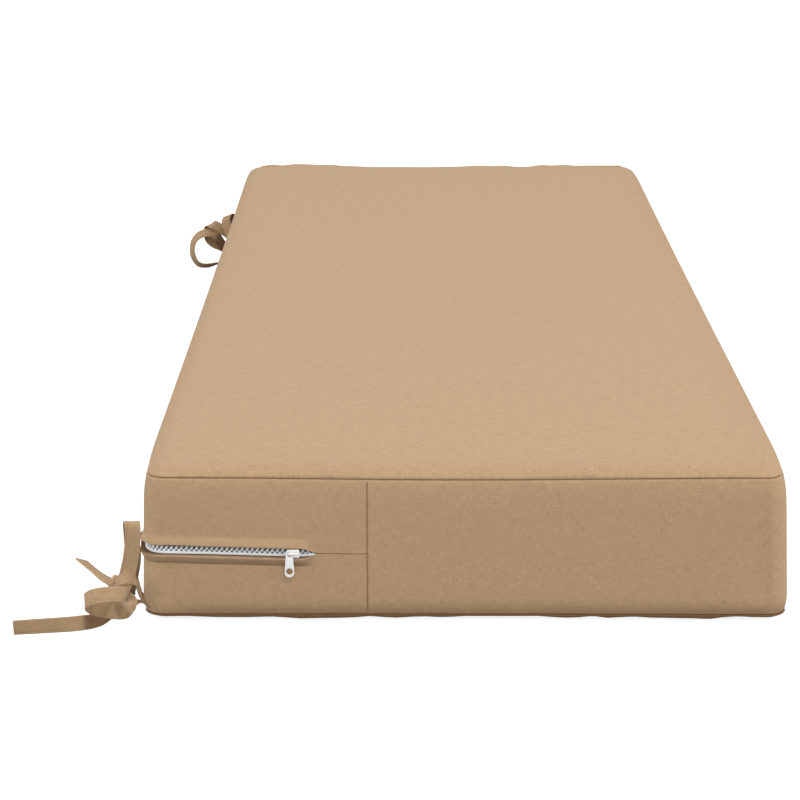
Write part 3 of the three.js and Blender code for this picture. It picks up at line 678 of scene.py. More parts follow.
def blown_cover(swell):
    """Surface of the cover after the filling has pushed it out between its seams"""
    columns = columns_of(0.012, 0.016, 6)
    rim, _ = outline_at(columns, 0)
    rows = plain_rows(columns, rim)
    points = [ring_points(columns, inset, height) for inset, height in rows]
    count = len(rim)
    vertices = np.concatenate(points + [[(0, 0, 0)], [(0, 0, FORM_TOP)]])
    faces = [tuple(f) for f in closed_faces(len(rows), count)]
    low, high = len(vertices) - 2, len(vertices) - 1
    last = (len(rows) - 1) * count
    faces += [(low, (i + 1) % count, i) for i in range(count)]
    faces += [(high, last + i, last + (i + 1) % count) for i in range(count)]
    cover = new_object("cover_form", mesh_of("cover_form", vertices, faces))
    remesh = cover.modifiers.new("Even cells", "REMESH")
    remesh.mode = "VOXEL"
    remesh.voxel_size = VOXEL
    apply_modifiers(cover)
    start = read_points(cover.data)
    away = np.maximum(np.abs(start[:, 0]) - WIDTH / 2, np.abs(start[:, 1]) - LENGTH / 2)
    at_rim = away > -0.009
    low_seam = np.abs(start[:, 2] - LOWER_SEAM) < SEAM_BAND
    high_seam = np.abs(start[:, 2] - UPPER_SEAM + 0.001) < SEAM_BAND
    seam = at_rim & (low_seam | high_seam)
    held = seam | (start[:, 2] < 0.002)
    group = cover.vertex_groups.new(name="held")
    group.add([int(i) for i in np.nonzero(held)[0]], 1.0, "REPLACE")
    cloth = cover.modifiers.new("Cloth", "CLOTH")
    cloth.settings.quality = 5
    cloth.settings.mass = 0.3
    cloth.settings.tension_stiffness = 15
    cloth.settings.compression_stiffness = 15
    cloth.settings.shear_stiffness = 5
    cloth.settings.bending_stiffness = 0.5
    cloth.settings.use_pressure = True
    cloth.settings.uniform_pressure_force = PRESSURE
    cloth.settings.effector_weights.gravity = 0
    cloth.settings.vertex_group_mass = "held"
    cloth.collision_settings.use_collision = False
    cloth.point_cache.frame_start = 1
    cloth.point_cache.frame_end = LAST_FRAME
    scene = bpy.context.scene
    for number in range(1, LAST_FRAME + 1):
        scene.frame_set(number)
    apply_modifiers(cover)
    scene.frame_set(1)
    step = read_points(cover.data) - start
    far = np.linalg.norm(step, axis=1)
    share = np.minimum(1, swell / np.maximum(far, 1e-9))
    cover.data.vertices.foreach_set("co", (start + step * share[:, None]).ravel())
    cover.data.update()
    finer = cover.modifiers.new("Finer", "SUBSURF")
    finer.levels = finer.render_levels = 1
    apply_modifiers(cover)
    tree = BVHTree.FromObject(cover, bpy.context.evaluated_depsgraph_get())
    mesh = cover.data
    bpy.data.objects.remove(cover)
    bpy.data.meshes.remove(mesh)
    return tree


def smooth_rows(values, passes):
    """Evens out a table of rows and columns, where the columns close round the cushion"""
    for _ in range(passes):
        values = (np.roll(values, 1, axis=1) + 2 * values + np.roll(values, -1, axis=1)) / 4
        padded = np.concatenate([values[:1], values, values[-1:]])
        values = (padded[:-2] + 2 * padded[1:-1] + padded[2:]) / 4
    return values


def swell_of(tree, columns, heights):
    """How much more than its mean at that height the blown cover stands out at each height and column"""
    start = 0.016
    base, normal = outline_at(columns, 0)
    table = np.zeros((len(heights), len(base)))
    for r, height in enumerate(heights):
        for c in range(len(base)):
            x, y = base[c] - normal[c] * start
            hit = tree.ray_cast(Vector((x, y, height)), Vector((normal[c][0], normal[c][1], 0)), 0.04)
            table[r, c] = start - hit[3] if hit[0] is not None else 0.003
    table = smooth_rows(table, 3)
    for k in range(4):
        mine = (columns["index"] == k) & (columns["turn"] == 0)
        table[:, mine] -= table[:, mine].mean(axis=1, keepdims=True)
    table[:, columns["turn"] > 0] -= table[:, columns["turn"] > 0].mean(axis=1, keepdims=True)
    return smooth_rows(table, 2)


def crown_of(tree):
    """Evenly spaced heights of the blown cover's top, more or less than their mean"""
    xs = np.arange(-0.23, 0.231, 0.02)
    ys = np.arange(-0.58, 0.581, 0.02)
    table = np.zeros((len(xs), len(ys)))
    for i, x in enumerate(xs):
        for j, y in enumerate(ys):
            hit = tree.ray_cast(Vector((x, y, 0.08)), Vector((0, 0, 1)), 0.1)
            table[i, j] = hit[0].z if hit[0] is not None else 0.125
    for _ in range(3):
        for axis in (0, 1):
            padded = np.concatenate([np.take(table, [0], axis), table, np.take(table, [-1], axis)], axis)
            count = table.shape[axis]
            parts = [np.take(padded, np.arange(k, k + count), axis) for k in range(3)]
            table = (parts[0] + 2 * parts[1] + parts[2]) / 4
    return xs, ys, table - table.mean()


def looked_up(field, x, y):
    """Value of an evenly spaced field at places in between"""
    xs, ys, table = field
    i = np.clip((x - xs[0]) / (xs[1] - xs[0]), 0, len(xs) - 1.001)
    j = np.clip((y - ys[0]) / (ys[1] - ys[0]), 0, len(ys) - 1.001)
    a, b = i.astype(int), j.astype(int)
    u, v = i - a, j - b
    u, v = u * u * (3 - 2 * u), v * v * (3 - 2 * v)
    low = table[a, b] * (1 - u) + table[a + 1, b] * u
    high = table[a, b + 1] * (1 - u) + table[a + 1, b + 1] * u
    return low * (1 - v) + high * v


# The cushion's cover, and the painted shade in its seams, grooves, creases and the parts that lie in shade
# Strengths of painted shade: in the panel seam's groove, on the turned-under band of the underside, along the
# lower and upper seams, on the top's rolled edge, in the tuck at the left side and in the zip's slot round the
# near left corner
PANEL_SEAM_PAINTED_SHADE = 0.6
UNDERSIDE_PAINTED_SHADE = 1.4
LOWER_SEAM_PAINTED_SHADE = 1.35
UPPER_SEAM_PAINTED_SHADE = 0.85
ROLLED_EDGE_PAINTED_SHADE = 0.08
TUCK_PAINTED_SHADE = 1.6
CORNER_SLOT_PAINTED_SHADE = 1500
UPPER_SEAM_STEP = 0.0005


def cover_rows(columns, rim):
    """Rows of the cover: inset, height and painted shade for each column, and which cloth panel the row ends
    """
    count = len(rim)
    share, middle, slit = zip_of(columns, rim)
    sag = end_sag(columns, rim)
    low_wave = waves(rim, LOW_WAVES)
    top_wave = waves(rim, TOP_WAVES)
    behind = np.where(columns["index"] == LEFT, np.exp(-(((rim[:, 1] + TUCK_PLACE) / TUCK_LENGTH) ** 2)), 0)
    end = np.isin(columns["index"], (NEAR, FAR)) & (columns["turn"] == 0)
    off_seam = np.abs(rim[:, 0] - PANEL_SEAM) * 1000
    groove = np.where(end, PANEL_SEAM_DEPTH * np.clip(1 - off_seam / 1.5, 0, 1) ** 1.5, 0)
    # Painted shade along the groove of the panel seam on both ends
    painted_seam_shade = np.where(end, PANEL_SEAM_PAINTED_SHADE * np.clip(1 - off_seam / 0.9, 0, 1), 0)
    upper = UPPER_SEAM - sag
    rows = []

    def add(inset, height, painted_shade, panel):
        rows.append([np.broadcast_to(inset, count) + 0.0, np.broadcast_to(height, count) + 0.0,
                     np.broadcast_to(painted_shade, count) + 0.0, panel])

    near_end = columns["index"] == NEAR
    hem_places, hem_rises = np.array(NEAR_HEM).T
    hem = np.interp(rim[:, 0] * 1000, hem_places, hem_rises) / 1000
    hem = np.where(near_end, hem, np.maximum(low_wave, 0))
    for inset, height, soft in UNDERSIDE:
        # Painted shade on the band of the underside that turns under next to the floor
        shaded = UNDERSIDE_PAINTED_SHADE * max(0, 1 - max(0, inset - 6) / 12)
        bulge = np.minimum(-np.minimum(hem, 0) * HEM_BULGE * soft, max(0, inset / 1000 - LOWER_SEAM_INSET))
        add(inset / 1000 - bulge, height / 1000 + np.maximum(hem, 0) * soft, shaded, "underside")
    for rise, inset, painted_shade in SEAM:
        panel = "underside" if rise < 0 else "boxing"
        # Painted shade along the lower seam and on the fabric below it
        shaded = max(painted_shade * LOWER_SEAM_PAINTED_SHADE, LOWER_SEAM_PAINTED_SHADE if rise < 0 else 0.5)
        add(LOWER_SEAM_INSET + inset / 1000, LOWER_SEAM + rise / 1000 + low_wave * 0.1, shaded, panel)
    # Painted shade on the boxing fades out towards the near left corner, and the lower lip's painted shade is
    # weaker there
    away = ramp(rim[:, 0], -0.245, -0.195)
    lit = 0.4 + 0.6 * ramp(rim[:, 0], -0.245, -0.165)
    for height, inset, shade in LOW_BOXING:
        add(inset / 1000 + groove, height / 1000, np.maximum(painted_seam_shade, shade * away), "boxing")
    for sense, lip in ((-1, LOWER_LIP), (1, reversed(UPPER_LIP))):
        for rise, out, painted_shade in lip:
            deep = np.where(slit, SLIT_DEPTH * (1 - share), 0) if out < 0.5 and rise < 5 else 0
            closing = max(0, 1 - max(0, rise - 4.2) / 8)
            squeezed = np.where(slit, SLIT_HALF, SLIT_HALF / 2) * rise / 4.2
            narrow = rise / 1000 * (1 - closing) + squeezed * closing if rise <= 12.2 else rise / 1000
            height = middle + sense * (rise / 1000 * share + narrow * (1 - share))
            tuck = behind * (1 - ramp(rise, 4.6, 9)) if sense < 0 and out > 0.5 else 0 * behind
            sunk = corner_depth(rim[:, 0], rim[:, 1]) if out < -2 else 0
            painted_corner_shade = CORNER_SLOT_PAINTED_SHADE * corner_depth(rim[:, 0], rim[:, 1]) if out < 2.95 and rise < 4.5 else 0
            shade = painted_shade * lit if sense < 0 and out > 0.5 else painted_shade
            # Painted shade on the lower lip and in the slot, with more in the tuck at the left side and in the
            # slot round the near left corner
            painted_shade_here = np.maximum(painted_seam_shade, shade * share) + TUCK_PAINTED_SHADE * np.clip(3 * tuck, 0, 1) + painted_corner_shade
            out_here = (out / 1000 - sunk + TUCK_OUT * tuck) * share
            add(groove - out_here + deep, height + TUCK_RISE * tuck, painted_shade_here, "boxing")
    for height, inset in HIGH_BOXING:
        add(inset / 1000 + groove, height / 1000 - sag * ramp(height, 80, 112), painted_seam_shade, "boxing")
    for rise, inset, painted_shade in SEAM:
        panel = "boxing" if rise < 0 else "top"
        step = UPPER_SEAM_STEP if rise > 0.3 else 0
        height = upper + rise / 1000 + top_wave * 0.1
        # Painted shade along the upper seam's groove
        add(SEAM_INSET + inset / 1000 + step, height, UPPER_SEAM_PAINTED_SHADE * painted_shade, panel)
    rim_places, rim_rises = np.array(FAR_RIM).T
    lifted = FAR_RIM_LIFT * np.interp(rim[:, 0] * 1000, rim_places, rim_rises)
    far_rim = np.where(columns["index"] == FAR, lifted, 0) / 1000
    for inset, height, soft in TOP:
        lift = top_wave * soft + far_rim * (1 - ramp(inset / 1000, 0.4 * FAR_RIM_WIDTH, FAR_RIM_WIDTH))
        height = height / 1000 - sag * 0.8 * soft + lift
        # Painted shade on the top's rolled edge next to the seam
        add(inset / 1000 + top_wave * soft * 0.3, height, ROLLED_EDGE_PAINTED_SHADE * soft, "top")
    return rows


class CUSHION_OT_cover(bpy.types.Operator):
    """Makes the filled cover with its seams and the slot of its zip"""

    bl_idname = "back_cushion.cover"
    bl_label = "Cover"

    def execute(self, context):
        columns = columns_of(0.0046, 0.0068, 11)
        rim, normal = outline_at(columns, 0)
        count = len(rim)
        rows = cover_rows(columns, rim)
        tree = blown_cover(settings().swell)
        levels = np.arange(0.012, 0.116, 0.004)
        side = swell_of(tree, columns, levels)
        crown = crown_of(tree)
        points = []
        for inset, height, painted_shade, panel in rows:
            if panel == "boxing":
                at = np.clip((height - levels[0]) / (levels[1] - levels[0]), 0, len(levels) - 1.001)
                low = at.astype(int)
                cols = np.arange(count)
                more = side[low, cols] * (1 - at + low) + side[low + 1, cols] * (at - low)
                fade = ramp(height, 0.010, 0.020) * (1 - ramp(height, 0.106, 0.116))
                inset = inset + more * fade
            points.append(ring_points(columns, inset, height))
        points = np.array(points)
        ends = []
        for row in (0, len(rows) - 1):
            spine = points[row].copy()
            spine[:, 0] = 0
            spine[:, 1] = np.clip(spine[:, 1], -(LENGTH - WIDTH) / 2, (LENGTH - WIDTH) / 2)
            ends.append(spine)
        points = settled(np.concatenate([ends[0][None], points, ends[1][None]]))
        inward = np.minimum(WIDTH / 2 - np.abs(points[..., 0]), LENGTH / 2 - np.abs(points[..., 1]))
        lift = looked_up(crown, points[..., 0], points[..., 1]) * ramp(inward, 0.010, 0.035)
        points[..., 2] += lift * ramp(points[..., 2], 0.120, 0.124)
        rows = [rows[0]] + rows + [rows[-1]]
        around = arc_length(rim)
        faces = closed_faces(len(rows), count)
        uvs = []
        for r in range(len(rows) - 1):
            flat = rows[r + 1][3] != "boxing" or rows[r][3] != "boxing"
            low, high = points[r], points[r + 1]
            after = np.roll(low, -1, axis=0), np.roll(high, -1, axis=0)
            if flat:
                corners = [low[:, :2], after[0][:, :2], after[1][:, :2], high[:, :2]]
            else:
                near, far = around[:-1], around[1:]
                heights = low[:, 2], after[0][:, 2], after[1][:, 2], high[:, 2]
                corners = [np.column_stack(pair) for pair in zip((near, far, far, near), heights)]
            uvs.append(np.stack(corners, axis=1))
        painted_shade = np.concatenate([row[2] for row in rows])
        mesh = mesh_of("cover", points.reshape(-1, 3), faces, np.concatenate(uvs).reshape(-1, 2), painted_shade)
        work = bmesh.new()
        work.from_mesh(mesh)
        bmesh.ops.remove_doubles(work, verts=work.verts, dist=1e-5)
        bmesh.ops.dissolve_degenerate(work, dist=1e-6, edges=work.edges)
        work.to_mesh(mesh)
        work.free()
        cover = new_object("cover", mesh)
        cover.data.materials.append(cloth_material("cover_cloth", settings().cloth_colour))
        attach(cover, "root")
        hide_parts("cushion")
        return {"FINISHED"}


# Materials

class Nodes:
    """Short way to write a material's nodes"""

    def __init__(self, name):
        self.material = bpy.data.materials.new(name)
        self.material.use_nodes = True
        self.tree = self.material.node_tree
        self.shader = self.tree.nodes["Principled BSDF"]

    def add(self, kind, inputs=None, **values):
        node = self.tree.nodes.new(kind)
        for key, value in values.items():
            setattr(node, key, value)
        for key, value in (inputs or {}).items():
            if isinstance(value, bpy.types.NodeSocket):
                self.tree.links.new(value, node.inputs[key])
            else:
                node.inputs[key].default_value = value
        return node

    def math(self, operation, *values):
        node = self.add("ShaderNodeMath", operation=operation)
        for i, value in enumerate(values):
            if isinstance(value, bpy.types.NodeSocket):
                self.tree.links.new(value, node.inputs[i])
            else:
                node.inputs[i].default_value = value
        return node.outputs[0]

    def noise(self, vector, scale, detail=2.0, roughness=0.5):
        inputs = {"Vector": vector, "Scale": scale, "Detail": detail, "Roughness": roughness}
        return self.add("ShaderNodeTexNoise", inputs).outputs["Fac"]

    def stretched(self, vector, factors):
        node = self.add("ShaderNodeMapping", {"Vector": vector, "Scale": factors})
        return node.outputs[0]

    def shaded(self, colour, low, high, value):
        """The colour from a darker to a lighter form of it, by the value"""
        share = self.add("ShaderNodeMapRange", {"Value": value, "To Min": low, "To Max": high})
        scaled = self.add("ShaderNodeVectorMath", {0: colour, "Scale": share.outputs[0]}, operation="SCALE")
        return scaled.outputs[0]

    def to_shader(self, name, value):
        if isinstance(value, bpy.types.NodeSocket):
            self.tree.links.new(value, self.shader.inputs[name])
        else:
            self.shader.inputs[name].default_value = value


def cloth_material(name, colour):
    """Plain weave of slub yarns in two near shades, matt and a little fuzzy, darkened towards a deep brown by
    painted shade
    """
    n = Nodes(name)
    pitch = settings().thread_pitch
    place = n.add("ShaderNodeUVMap", uv_map="weave").outputs[0]
    # This attribute holds painted shade: darkness put into the cloth's colour where seams, creases, the knots
    # and the band by the floor lie in shade
    painted_shade = n.add("ShaderNodeAttribute", attribute_name="painted_shade").outputs["Fac"]
    split = n.add("ShaderNodeSeparateXYZ", {0: place})
    along = n.math("MULTIPLY", split.outputs["X"], math.pi / pitch)
    up = n.math("MULTIPLY", split.outputs["Y"], math.pi / pitch)
    warp = n.math("ABSOLUTE", n.math("SINE", along))
    weft = n.math("ABSOLUTE", n.math("SINE", up))
    over = n.math("MULTIPLY", n.math("SINE", along), n.math("SINE", up))
    top_thread = n.math("GREATER_THAN", over, 0.0)
    threads = n.add("ShaderNodeMix", {"Factor": top_thread, "A": warp, "B": weft}, data_type="FLOAT")
    height = threads.outputs[0]
    warp_yarn = n.noise(n.stretched(place, (900, 150, 1)), 1.0, 2.0, 0.6)
    weft_yarn = n.noise(n.stretched(place, (150, 900, 1)), 1.0, 2.0, 0.6)
    yarn = n.math("MULTIPLY_ADD", n.math("ADD", warp_yarn, weft_yarn), 0.75, -0.25)
    blotch = n.noise(n.stretched(place, (820, 820, 820)), 1.0, 2.0, 0.6)
    cloudy = n.noise(n.stretched(place, (110, 110, 110)), 1.0, 2.0)
    patchy = n.noise(n.stretched(place, (38, 38, 38)), 1.0, 2.0)
    fine = n.math("ADD", n.math("MULTIPLY", yarn, 0.75), n.math("MULTIPLY", blotch, 0.25))
    strength = n.math("MULTIPLY", patchy, 1.4)
    speckled = n.math("MULTIPLY", n.math("SUBTRACT", fine, 0.5), strength)
    mottled = n.math("MULTIPLY", n.math("SUBTRACT", cloudy, 0.5), 0.14)
    spread = n.math("ADD", n.math("ADD", speckled, mottled), 1.0)
    # Darker where the threads dip: the weave's own pattern, and painted shade between its threads
    gap = n.math("MULTIPLY_ADD", height, 0.14, 0.88)
    # Painted shade: the attribute's value darkens the colour towards a deeper, redder brown, as the cloth
    # looks in shade
    depth = n.math("MULTIPLY", painted_shade, 0.6)
    deep = n.add("ShaderNodeMix", data_type="RGBA")
    deep.inputs["A"].default_value = (1, 1, 1, 1)
    deep.inputs["B"].default_value = (0.27, 0.165, 0.06, 1)
    n.tree.links.new(depth, deep.inputs["Factor"])
    total = n.math("MULTIPLY", spread, gap)
    scaled = n.add("ShaderNodeVectorMath", {0: tuple(colour), "Scale": total}, operation="SCALE").outputs[0]
    tinted = n.add("ShaderNodeVectorMath", {0: scaled, 1: deep.outputs["Result"]}, operation="MULTIPLY")
    n.to_shader("Base Color", tinted.outputs[0])
    n.to_shader("Roughness", 0.92)
    n.to_shader("Specular IOR Level", 0.12)
    n.to_shader("Sheen Weight", 0.065)
    n.to_shader("Sheen Roughness", 0.6)
    relief = n.math("ADD", n.math("MULTIPLY", height, 0.7), n.math("MULTIPLY", blotch, 0.5))
    bump = n.add("ShaderNodeBump", {"Height": relief, "Strength": 0.35, "Distance": 0.0002})
    n.to_shader("Normal", bump.outputs[0])
    return n.material


def thread_material(name, colour):
    """Twisted sewing thread"""
    n = Nodes(name)
    place = n.add("ShaderNodeTexCoord").outputs["Object"]
    twist = n.noise(n.stretched(place, (2400, 2400, 2400)), 1.0, 2.0)
    n.to_shader("Base Color", n.shaded(tuple(colour), 0.8, 1.15, twist))
    n.to_shader("Roughness", 0.8)
    return n.material


def plastic_material(name, colour, roughness, grain):
    """Moulded plastic or lacquer with faint unevenness"""
    n = Nodes(name)
    place = n.add("ShaderNodeTexCoord").outputs["Object"]
    cloudy = n.noise(n.stretched(place, (grain, grain, grain)), 1.0, 3.0)
    n.to_shader("Base Color", n.shaded(tuple(colour), 0.94, 1.04, cloudy))
    limits = {"Value": cloudy, "To Min": roughness - 0.06, "To Max": roughness + 0.08}
    n.to_shader("Roughness", n.add("ShaderNodeMapRange", limits).outputs[0])
    bump = n.add("ShaderNodeBump", {"Height": cloudy, "Strength": 0.15, "Distance": 0.0001})
    n.to_shader("Normal", bump.outputs[0])
    return n.material


def tape_material(name, colour):
    """Ribbed woven tape under the teeth"""
    n = Nodes(name)
    place = n.add("ShaderNodeUVMap", uv_map="weave").outputs[0]
    split = n.add("ShaderNodeSeparateXYZ", {0: place})
    rib = n.math("ABSOLUTE", n.math("SINE", n.math("MULTIPLY", split.outputs["X"], math.pi / 0.0005)))
    speck = n.noise(n.stretched(place, (1600, 1600, 1600)), 1.0, 2.0)
    n.to_shader("Base Color", n.shaded(tuple(colour), 0.82, 1.1, n.math("MULTIPLY", rib, speck)))
    n.to_shader("Roughness", 0.8)
    bump = n.add("ShaderNodeBump", {"Height": rib, "Strength": 0.4, "Distance": 0.0002})
    n.to_shader("Normal", bump.outputs[0])
    return n.material


# Zip

def zip_columns(spacing, sewn=False):
    """Evenly spaced places from the far end round the left side to the near end. They follow the zip from
    tip to tip, or the sewn line under it from panel seam to panel seam."""
    columns = columns_of(0.003, 0.004, 16)
    rim, normal = outline_at(columns, 0)
    share, middle, slit = zip_of(columns, rim)
    if sewn:
        inside = slit & (rim[:, 0] < PANEL_SEAM - 0.003)
        turned = (columns["turn"] > 0) & (share > 0.5)
        keep = np.nonzero(inside | turned | (columns["index"] == LEFT))[0]
    else:
        keep = np.nonzero(share > 0.02)[0]
    first = keep[np.nonzero(columns["index"][keep] == FAR)[0][0]]
    order = np.concatenate([keep[keep >= first], keep[keep < first]])
    path = np.column_stack([rim[order], middle[order]])
    steps = np.linalg.norm(np.diff(path, axis=0), axis=1)
    length = np.concatenate([[0], np.cumsum(steps)])
    places = np.arange(0, length[-1], spacing)
    table = {"length": places}
    table["point"] = np.column_stack([np.interp(places, length, path[:, i]) for i in range(3)])
    out = np.column_stack([np.interp(places, length, normal[order][:, i]) for i in range(2)])
    table["out"] = out / np.linalg.norm(out, axis=1)[:, None]
    table["share"] = np.interp(places, length, share[order])
    return table


def frames_at(table, depth, rise):
    """One matrix for each place: X along the zip, Y outward, Z up"""
    result = []
    for point, out in zip(table["point"], table["out"]):
        along = Vector((-out[1], out[0], 0))
        outward = Vector((out[0], out[1], 0))
        matrix = Matrix((along, outward, Vector((0, 0, 1)))).transposed().to_4x4()
        inward = depth - float(corner_depth(point[0], point[1]))
        where = Vector(point) + outward * inward + Vector((0, 0, rise))
        result.append(Matrix.Translation(Vector(settled(np.array(where)))) @ matrix)
    return result


def copies_of(obj, name, matrices, scales=None):
    """One mesh of copies of a small object, which is removed"""
    source = obj.data
    points = np.array([v.co for v in source.vertices])
    faces = [tuple(p.vertices) for p in source.polygons]
    vertices, all_faces = [], []
    for i, matrix in enumerate(matrices):
        local = points * (scales[i] if scales is not None else 1)
        turned = local @ np.array(matrix.to_3x3()).T + np.array(matrix.translation)
        all_faces += [tuple(k + len(points) * i for k in f) for f in faces]
        vertices.append(turned)
    bpy.data.objects.remove(obj)
    bpy.data.meshes.remove(source)
    return mesh_of(name, np.concatenate(vertices), all_faces)


def bead(name, size, turn_axis=None, angle=0.0, segments=8, rings=6):
    """A small rounded bead of the given size, turned about one axis"""
    bpy.ops.object.select_all(action="DESELECT")
    bpy.ops.mesh.primitive_uv_sphere_add(segments=segments, ring_count=rings, radius=0.5)
    obj = bpy.context.object
    obj.name = name
    bpy.ops.object.mode_set(mode="EDIT")
    bpy.ops.mesh.select_all(action="SELECT")
    bpy.ops.transform.rotate(value=math.pi / 2, orient_axis="Y", center_override=(0, 0, 0))
    bpy.ops.transform.resize(value=size, center_override=(0, 0, 0))
    if turn_axis:
        bpy.ops.transform.rotate(value=angle, orient_axis=turn_axis, center_override=(0, 0, 0))
    bpy.ops.object.mode_set(mode="OBJECT")
    return obj


class CUSHION_OT_zip(bpy.types.Operator):
    """Makes the zip's tape, its edge and the two rows of teeth"""

    bl_idname = "back_cushion.zip"
    bl_label = "Zip"

    def execute(self, context):
        tape = zip_columns(0.004)
        half = SLOT_HALF * tape["share"] + SLIT_HALF * (1 - tape["share"]) - TAPE_CLEAR
        floor = -SLOT_DEPTH * tape["share"] + TAPE_CLEAR
        flat_section = ((0.95, 0.0002), (0.5, 0.0006), (-0.5, 0.0006), (-0.95, 0.0002), (-0.95, 0), (0.95, 0))
        flat_tape = self.strip("zip_tape", tape, half, floor, flat_section)
        # Painted shade: the tape is dark grey so that the gaps between the teeth look shaded
        flat_tape.data.materials.append(tape_material("zip_tape", settings().tape_painted_shade_colour))
        turns = [k * math.pi / 4 for k in range(8)]
        edge_section = [(-0.62 + 0.32 * math.sin(t), 0.0012 + 0.0011 * math.cos(t)) for t in turns]
        edge = self.strip("zip_tape_edge", tape, half, floor, edge_section)
        edge.data.materials.append(tape_material("zip_tape_edge", settings().teeth_colour))
        chain = zip_columns(TOOTH_PITCH)
        teeth = plastic_material("zip_teeth", settings().teeth_colour, 0.42, 900)
        pieces = [flat_tape, edge]
        rows = (("zip_teeth_upper", 1, 0.0014, 0.0046), ("zip_teeth_lower", -1, -0.0010, 0.0036))
        for name, sense, rise, length in rows:
            tooth = bead(name, (TOOTH_WIDTH, TOOTH_DEPTH, length), "Y", -sense * TOOTH_SLANT)
            size = 0.25 + 0.75 * chain["share"]
            shift = 0 if sense > 0 else TOOTH_PITCH / 2
            matrices = frames_at(chain, 0, 0)
            for i, matrix in enumerate(matrices):
                depth = TOOTH_FLOOR - SLOT_DEPTH * chain["share"][i]
                move = Vector((shift, depth, rise * chain["share"][i]))
                matrices[i] = Matrix.Translation(matrix.to_3x3() @ move) @ matrix
            piece = new_object(name, copies_of(tooth, name, matrices, size))
            piece.data.materials.append(teeth)
            pieces.append(piece)
        for piece in pieces:
            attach(piece, "root")
            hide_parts("zip_chain")
        return {"FINISHED"}

    def strip(self, name, places, half, floor, section):
        """A strip along the zip. section: share of the slot's half height, and height over its floor"""
        rings = []
        floor = floor - corner_depth(places["point"][:, 0], places["point"][:, 1])
        for rise, depth in section:
            flat = places["point"][:, :2] + places["out"] * (floor + depth)[:, None]
            rings.append(settled(np.column_stack([flat, places["point"][:, 2] + rise * half])))
        points = np.stack(rings, axis=1)
        count, sides = points.shape[:2]
        faces, uvs = [], []
        for i in range(count - 1):
            for k in range(sides):
                a, b = i * sides + k, i * sides + (k + 1) % sides
                faces.append((a, a + sides, b + sides, b))
                u, v = (places["length"][i], places["length"][i + 1]), (k * 0.002, (k + 1) * 0.002)
                uvs += [(u[0], v[0]), (u[1], v[0]), (u[1], v[1]), (u[0], v[1])]
        faces += [tuple(range(sides)), tuple((count - 1) * sides + k for k in reversed(range(sides)))]
        uvs += [(0, 0)] * (2 * sides)
        return new_object(name, mesh_of(name, points.reshape(-1, 3), faces, uvs))


class CUSHION_OT_stitches(bpy.types.Operator):
    """Makes the row of stitches that holds the zip's lower lip"""

    bl_idname = "back_cushion.stitches"
    bl_label = "Stitches"

    def execute(self, context):
        stitch = bead("stitches", STITCH_SIZE, segments=6, rings=5)
        matrices = frames_at(zip_columns(STITCH_PITCH, sewn=True), STITCH_DEPTH, -STITCH_DROP)
        piece = new_object("stitches", copies_of(stitch, "stitches", matrices))
        piece.data.materials.append(thread_material("thread", settings().thread_colour))
        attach(piece, "root")
        return {"FINISHED"}


# Slider and pull tab

def slider_place():
    columns = columns_of(0.004, 0.02, 6)
    near = (columns["index"] == NEAR) & (columns["turn"] == 0)
    rim, _ = outline_at(columns, 0)
    _, middle, _ = zip_of(columns, rim)
    y = np.interp(SLIDER_X, rim[near][:, 0], rim[near][:, 1])
    return float(y), float(np.interp(SLIDER_X, rim[near][:, 0], middle[near]))


def cut(obj, cutter):
    modifier = obj.modifiers.new("Cut", "BOOLEAN")
    modifier.object = cutter
    modifier.solver = "EXACT"
    apply_modifiers(obj)
    bpy.data.objects.remove(cutter)


def round_edges(obj, width, segments, angle=40):
    modifier = obj.modifiers.new("Rounded", "BEVEL")
    modifier.width = width
    modifier.segments = segments
    modifier.limit_method = "ANGLE"
    modifier.angle_limit = math.radians(angle)
    apply_modifiers(obj)
    select_only(obj)
    bpy.ops.object.shade_smooth_by_angle(angle=math.radians(50))


def at_origin(obj):
    select_only(obj)
    bpy.ops.object.transform_apply(location=True, rotation=True, scale=True)


def box(name, size, centre):
    bpy.ops.object.select_all(action="DESELECT")
    bpy.ops.mesh.primitive_cube_add(size=1, location=centre)
    obj = bpy.context.object
    obj.name = name
    obj.scale = size
    at_origin(obj)
    return obj


def post(radius, depth, centre, vertices=32):
    """A round bar that lies along Y"""
    bpy.ops.object.select_all(action="DESELECT")
    bpy.ops.mesh.primitive_cylinder_add(
        vertices=vertices, radius=radius, depth=depth, location=centre, rotation=(math.pi / 2, 0, 0)
    )
    obj = bpy.context.object
    at_origin(obj)
    return obj


def select_points(obj, wanted):
    """Opens the mesh for editing with only the wanted points selected"""
    select_only(obj)
    bpy.ops.object.mode_set(mode="EDIT")
    bpy.ops.mesh.select_all(action="DESELECT")
    work = bmesh.from_edit_mesh(obj.data)
    for vertex in work.verts:
        vertex.select = wanted(vertex.co)
    bmesh.update_edit_mesh(obj.data)


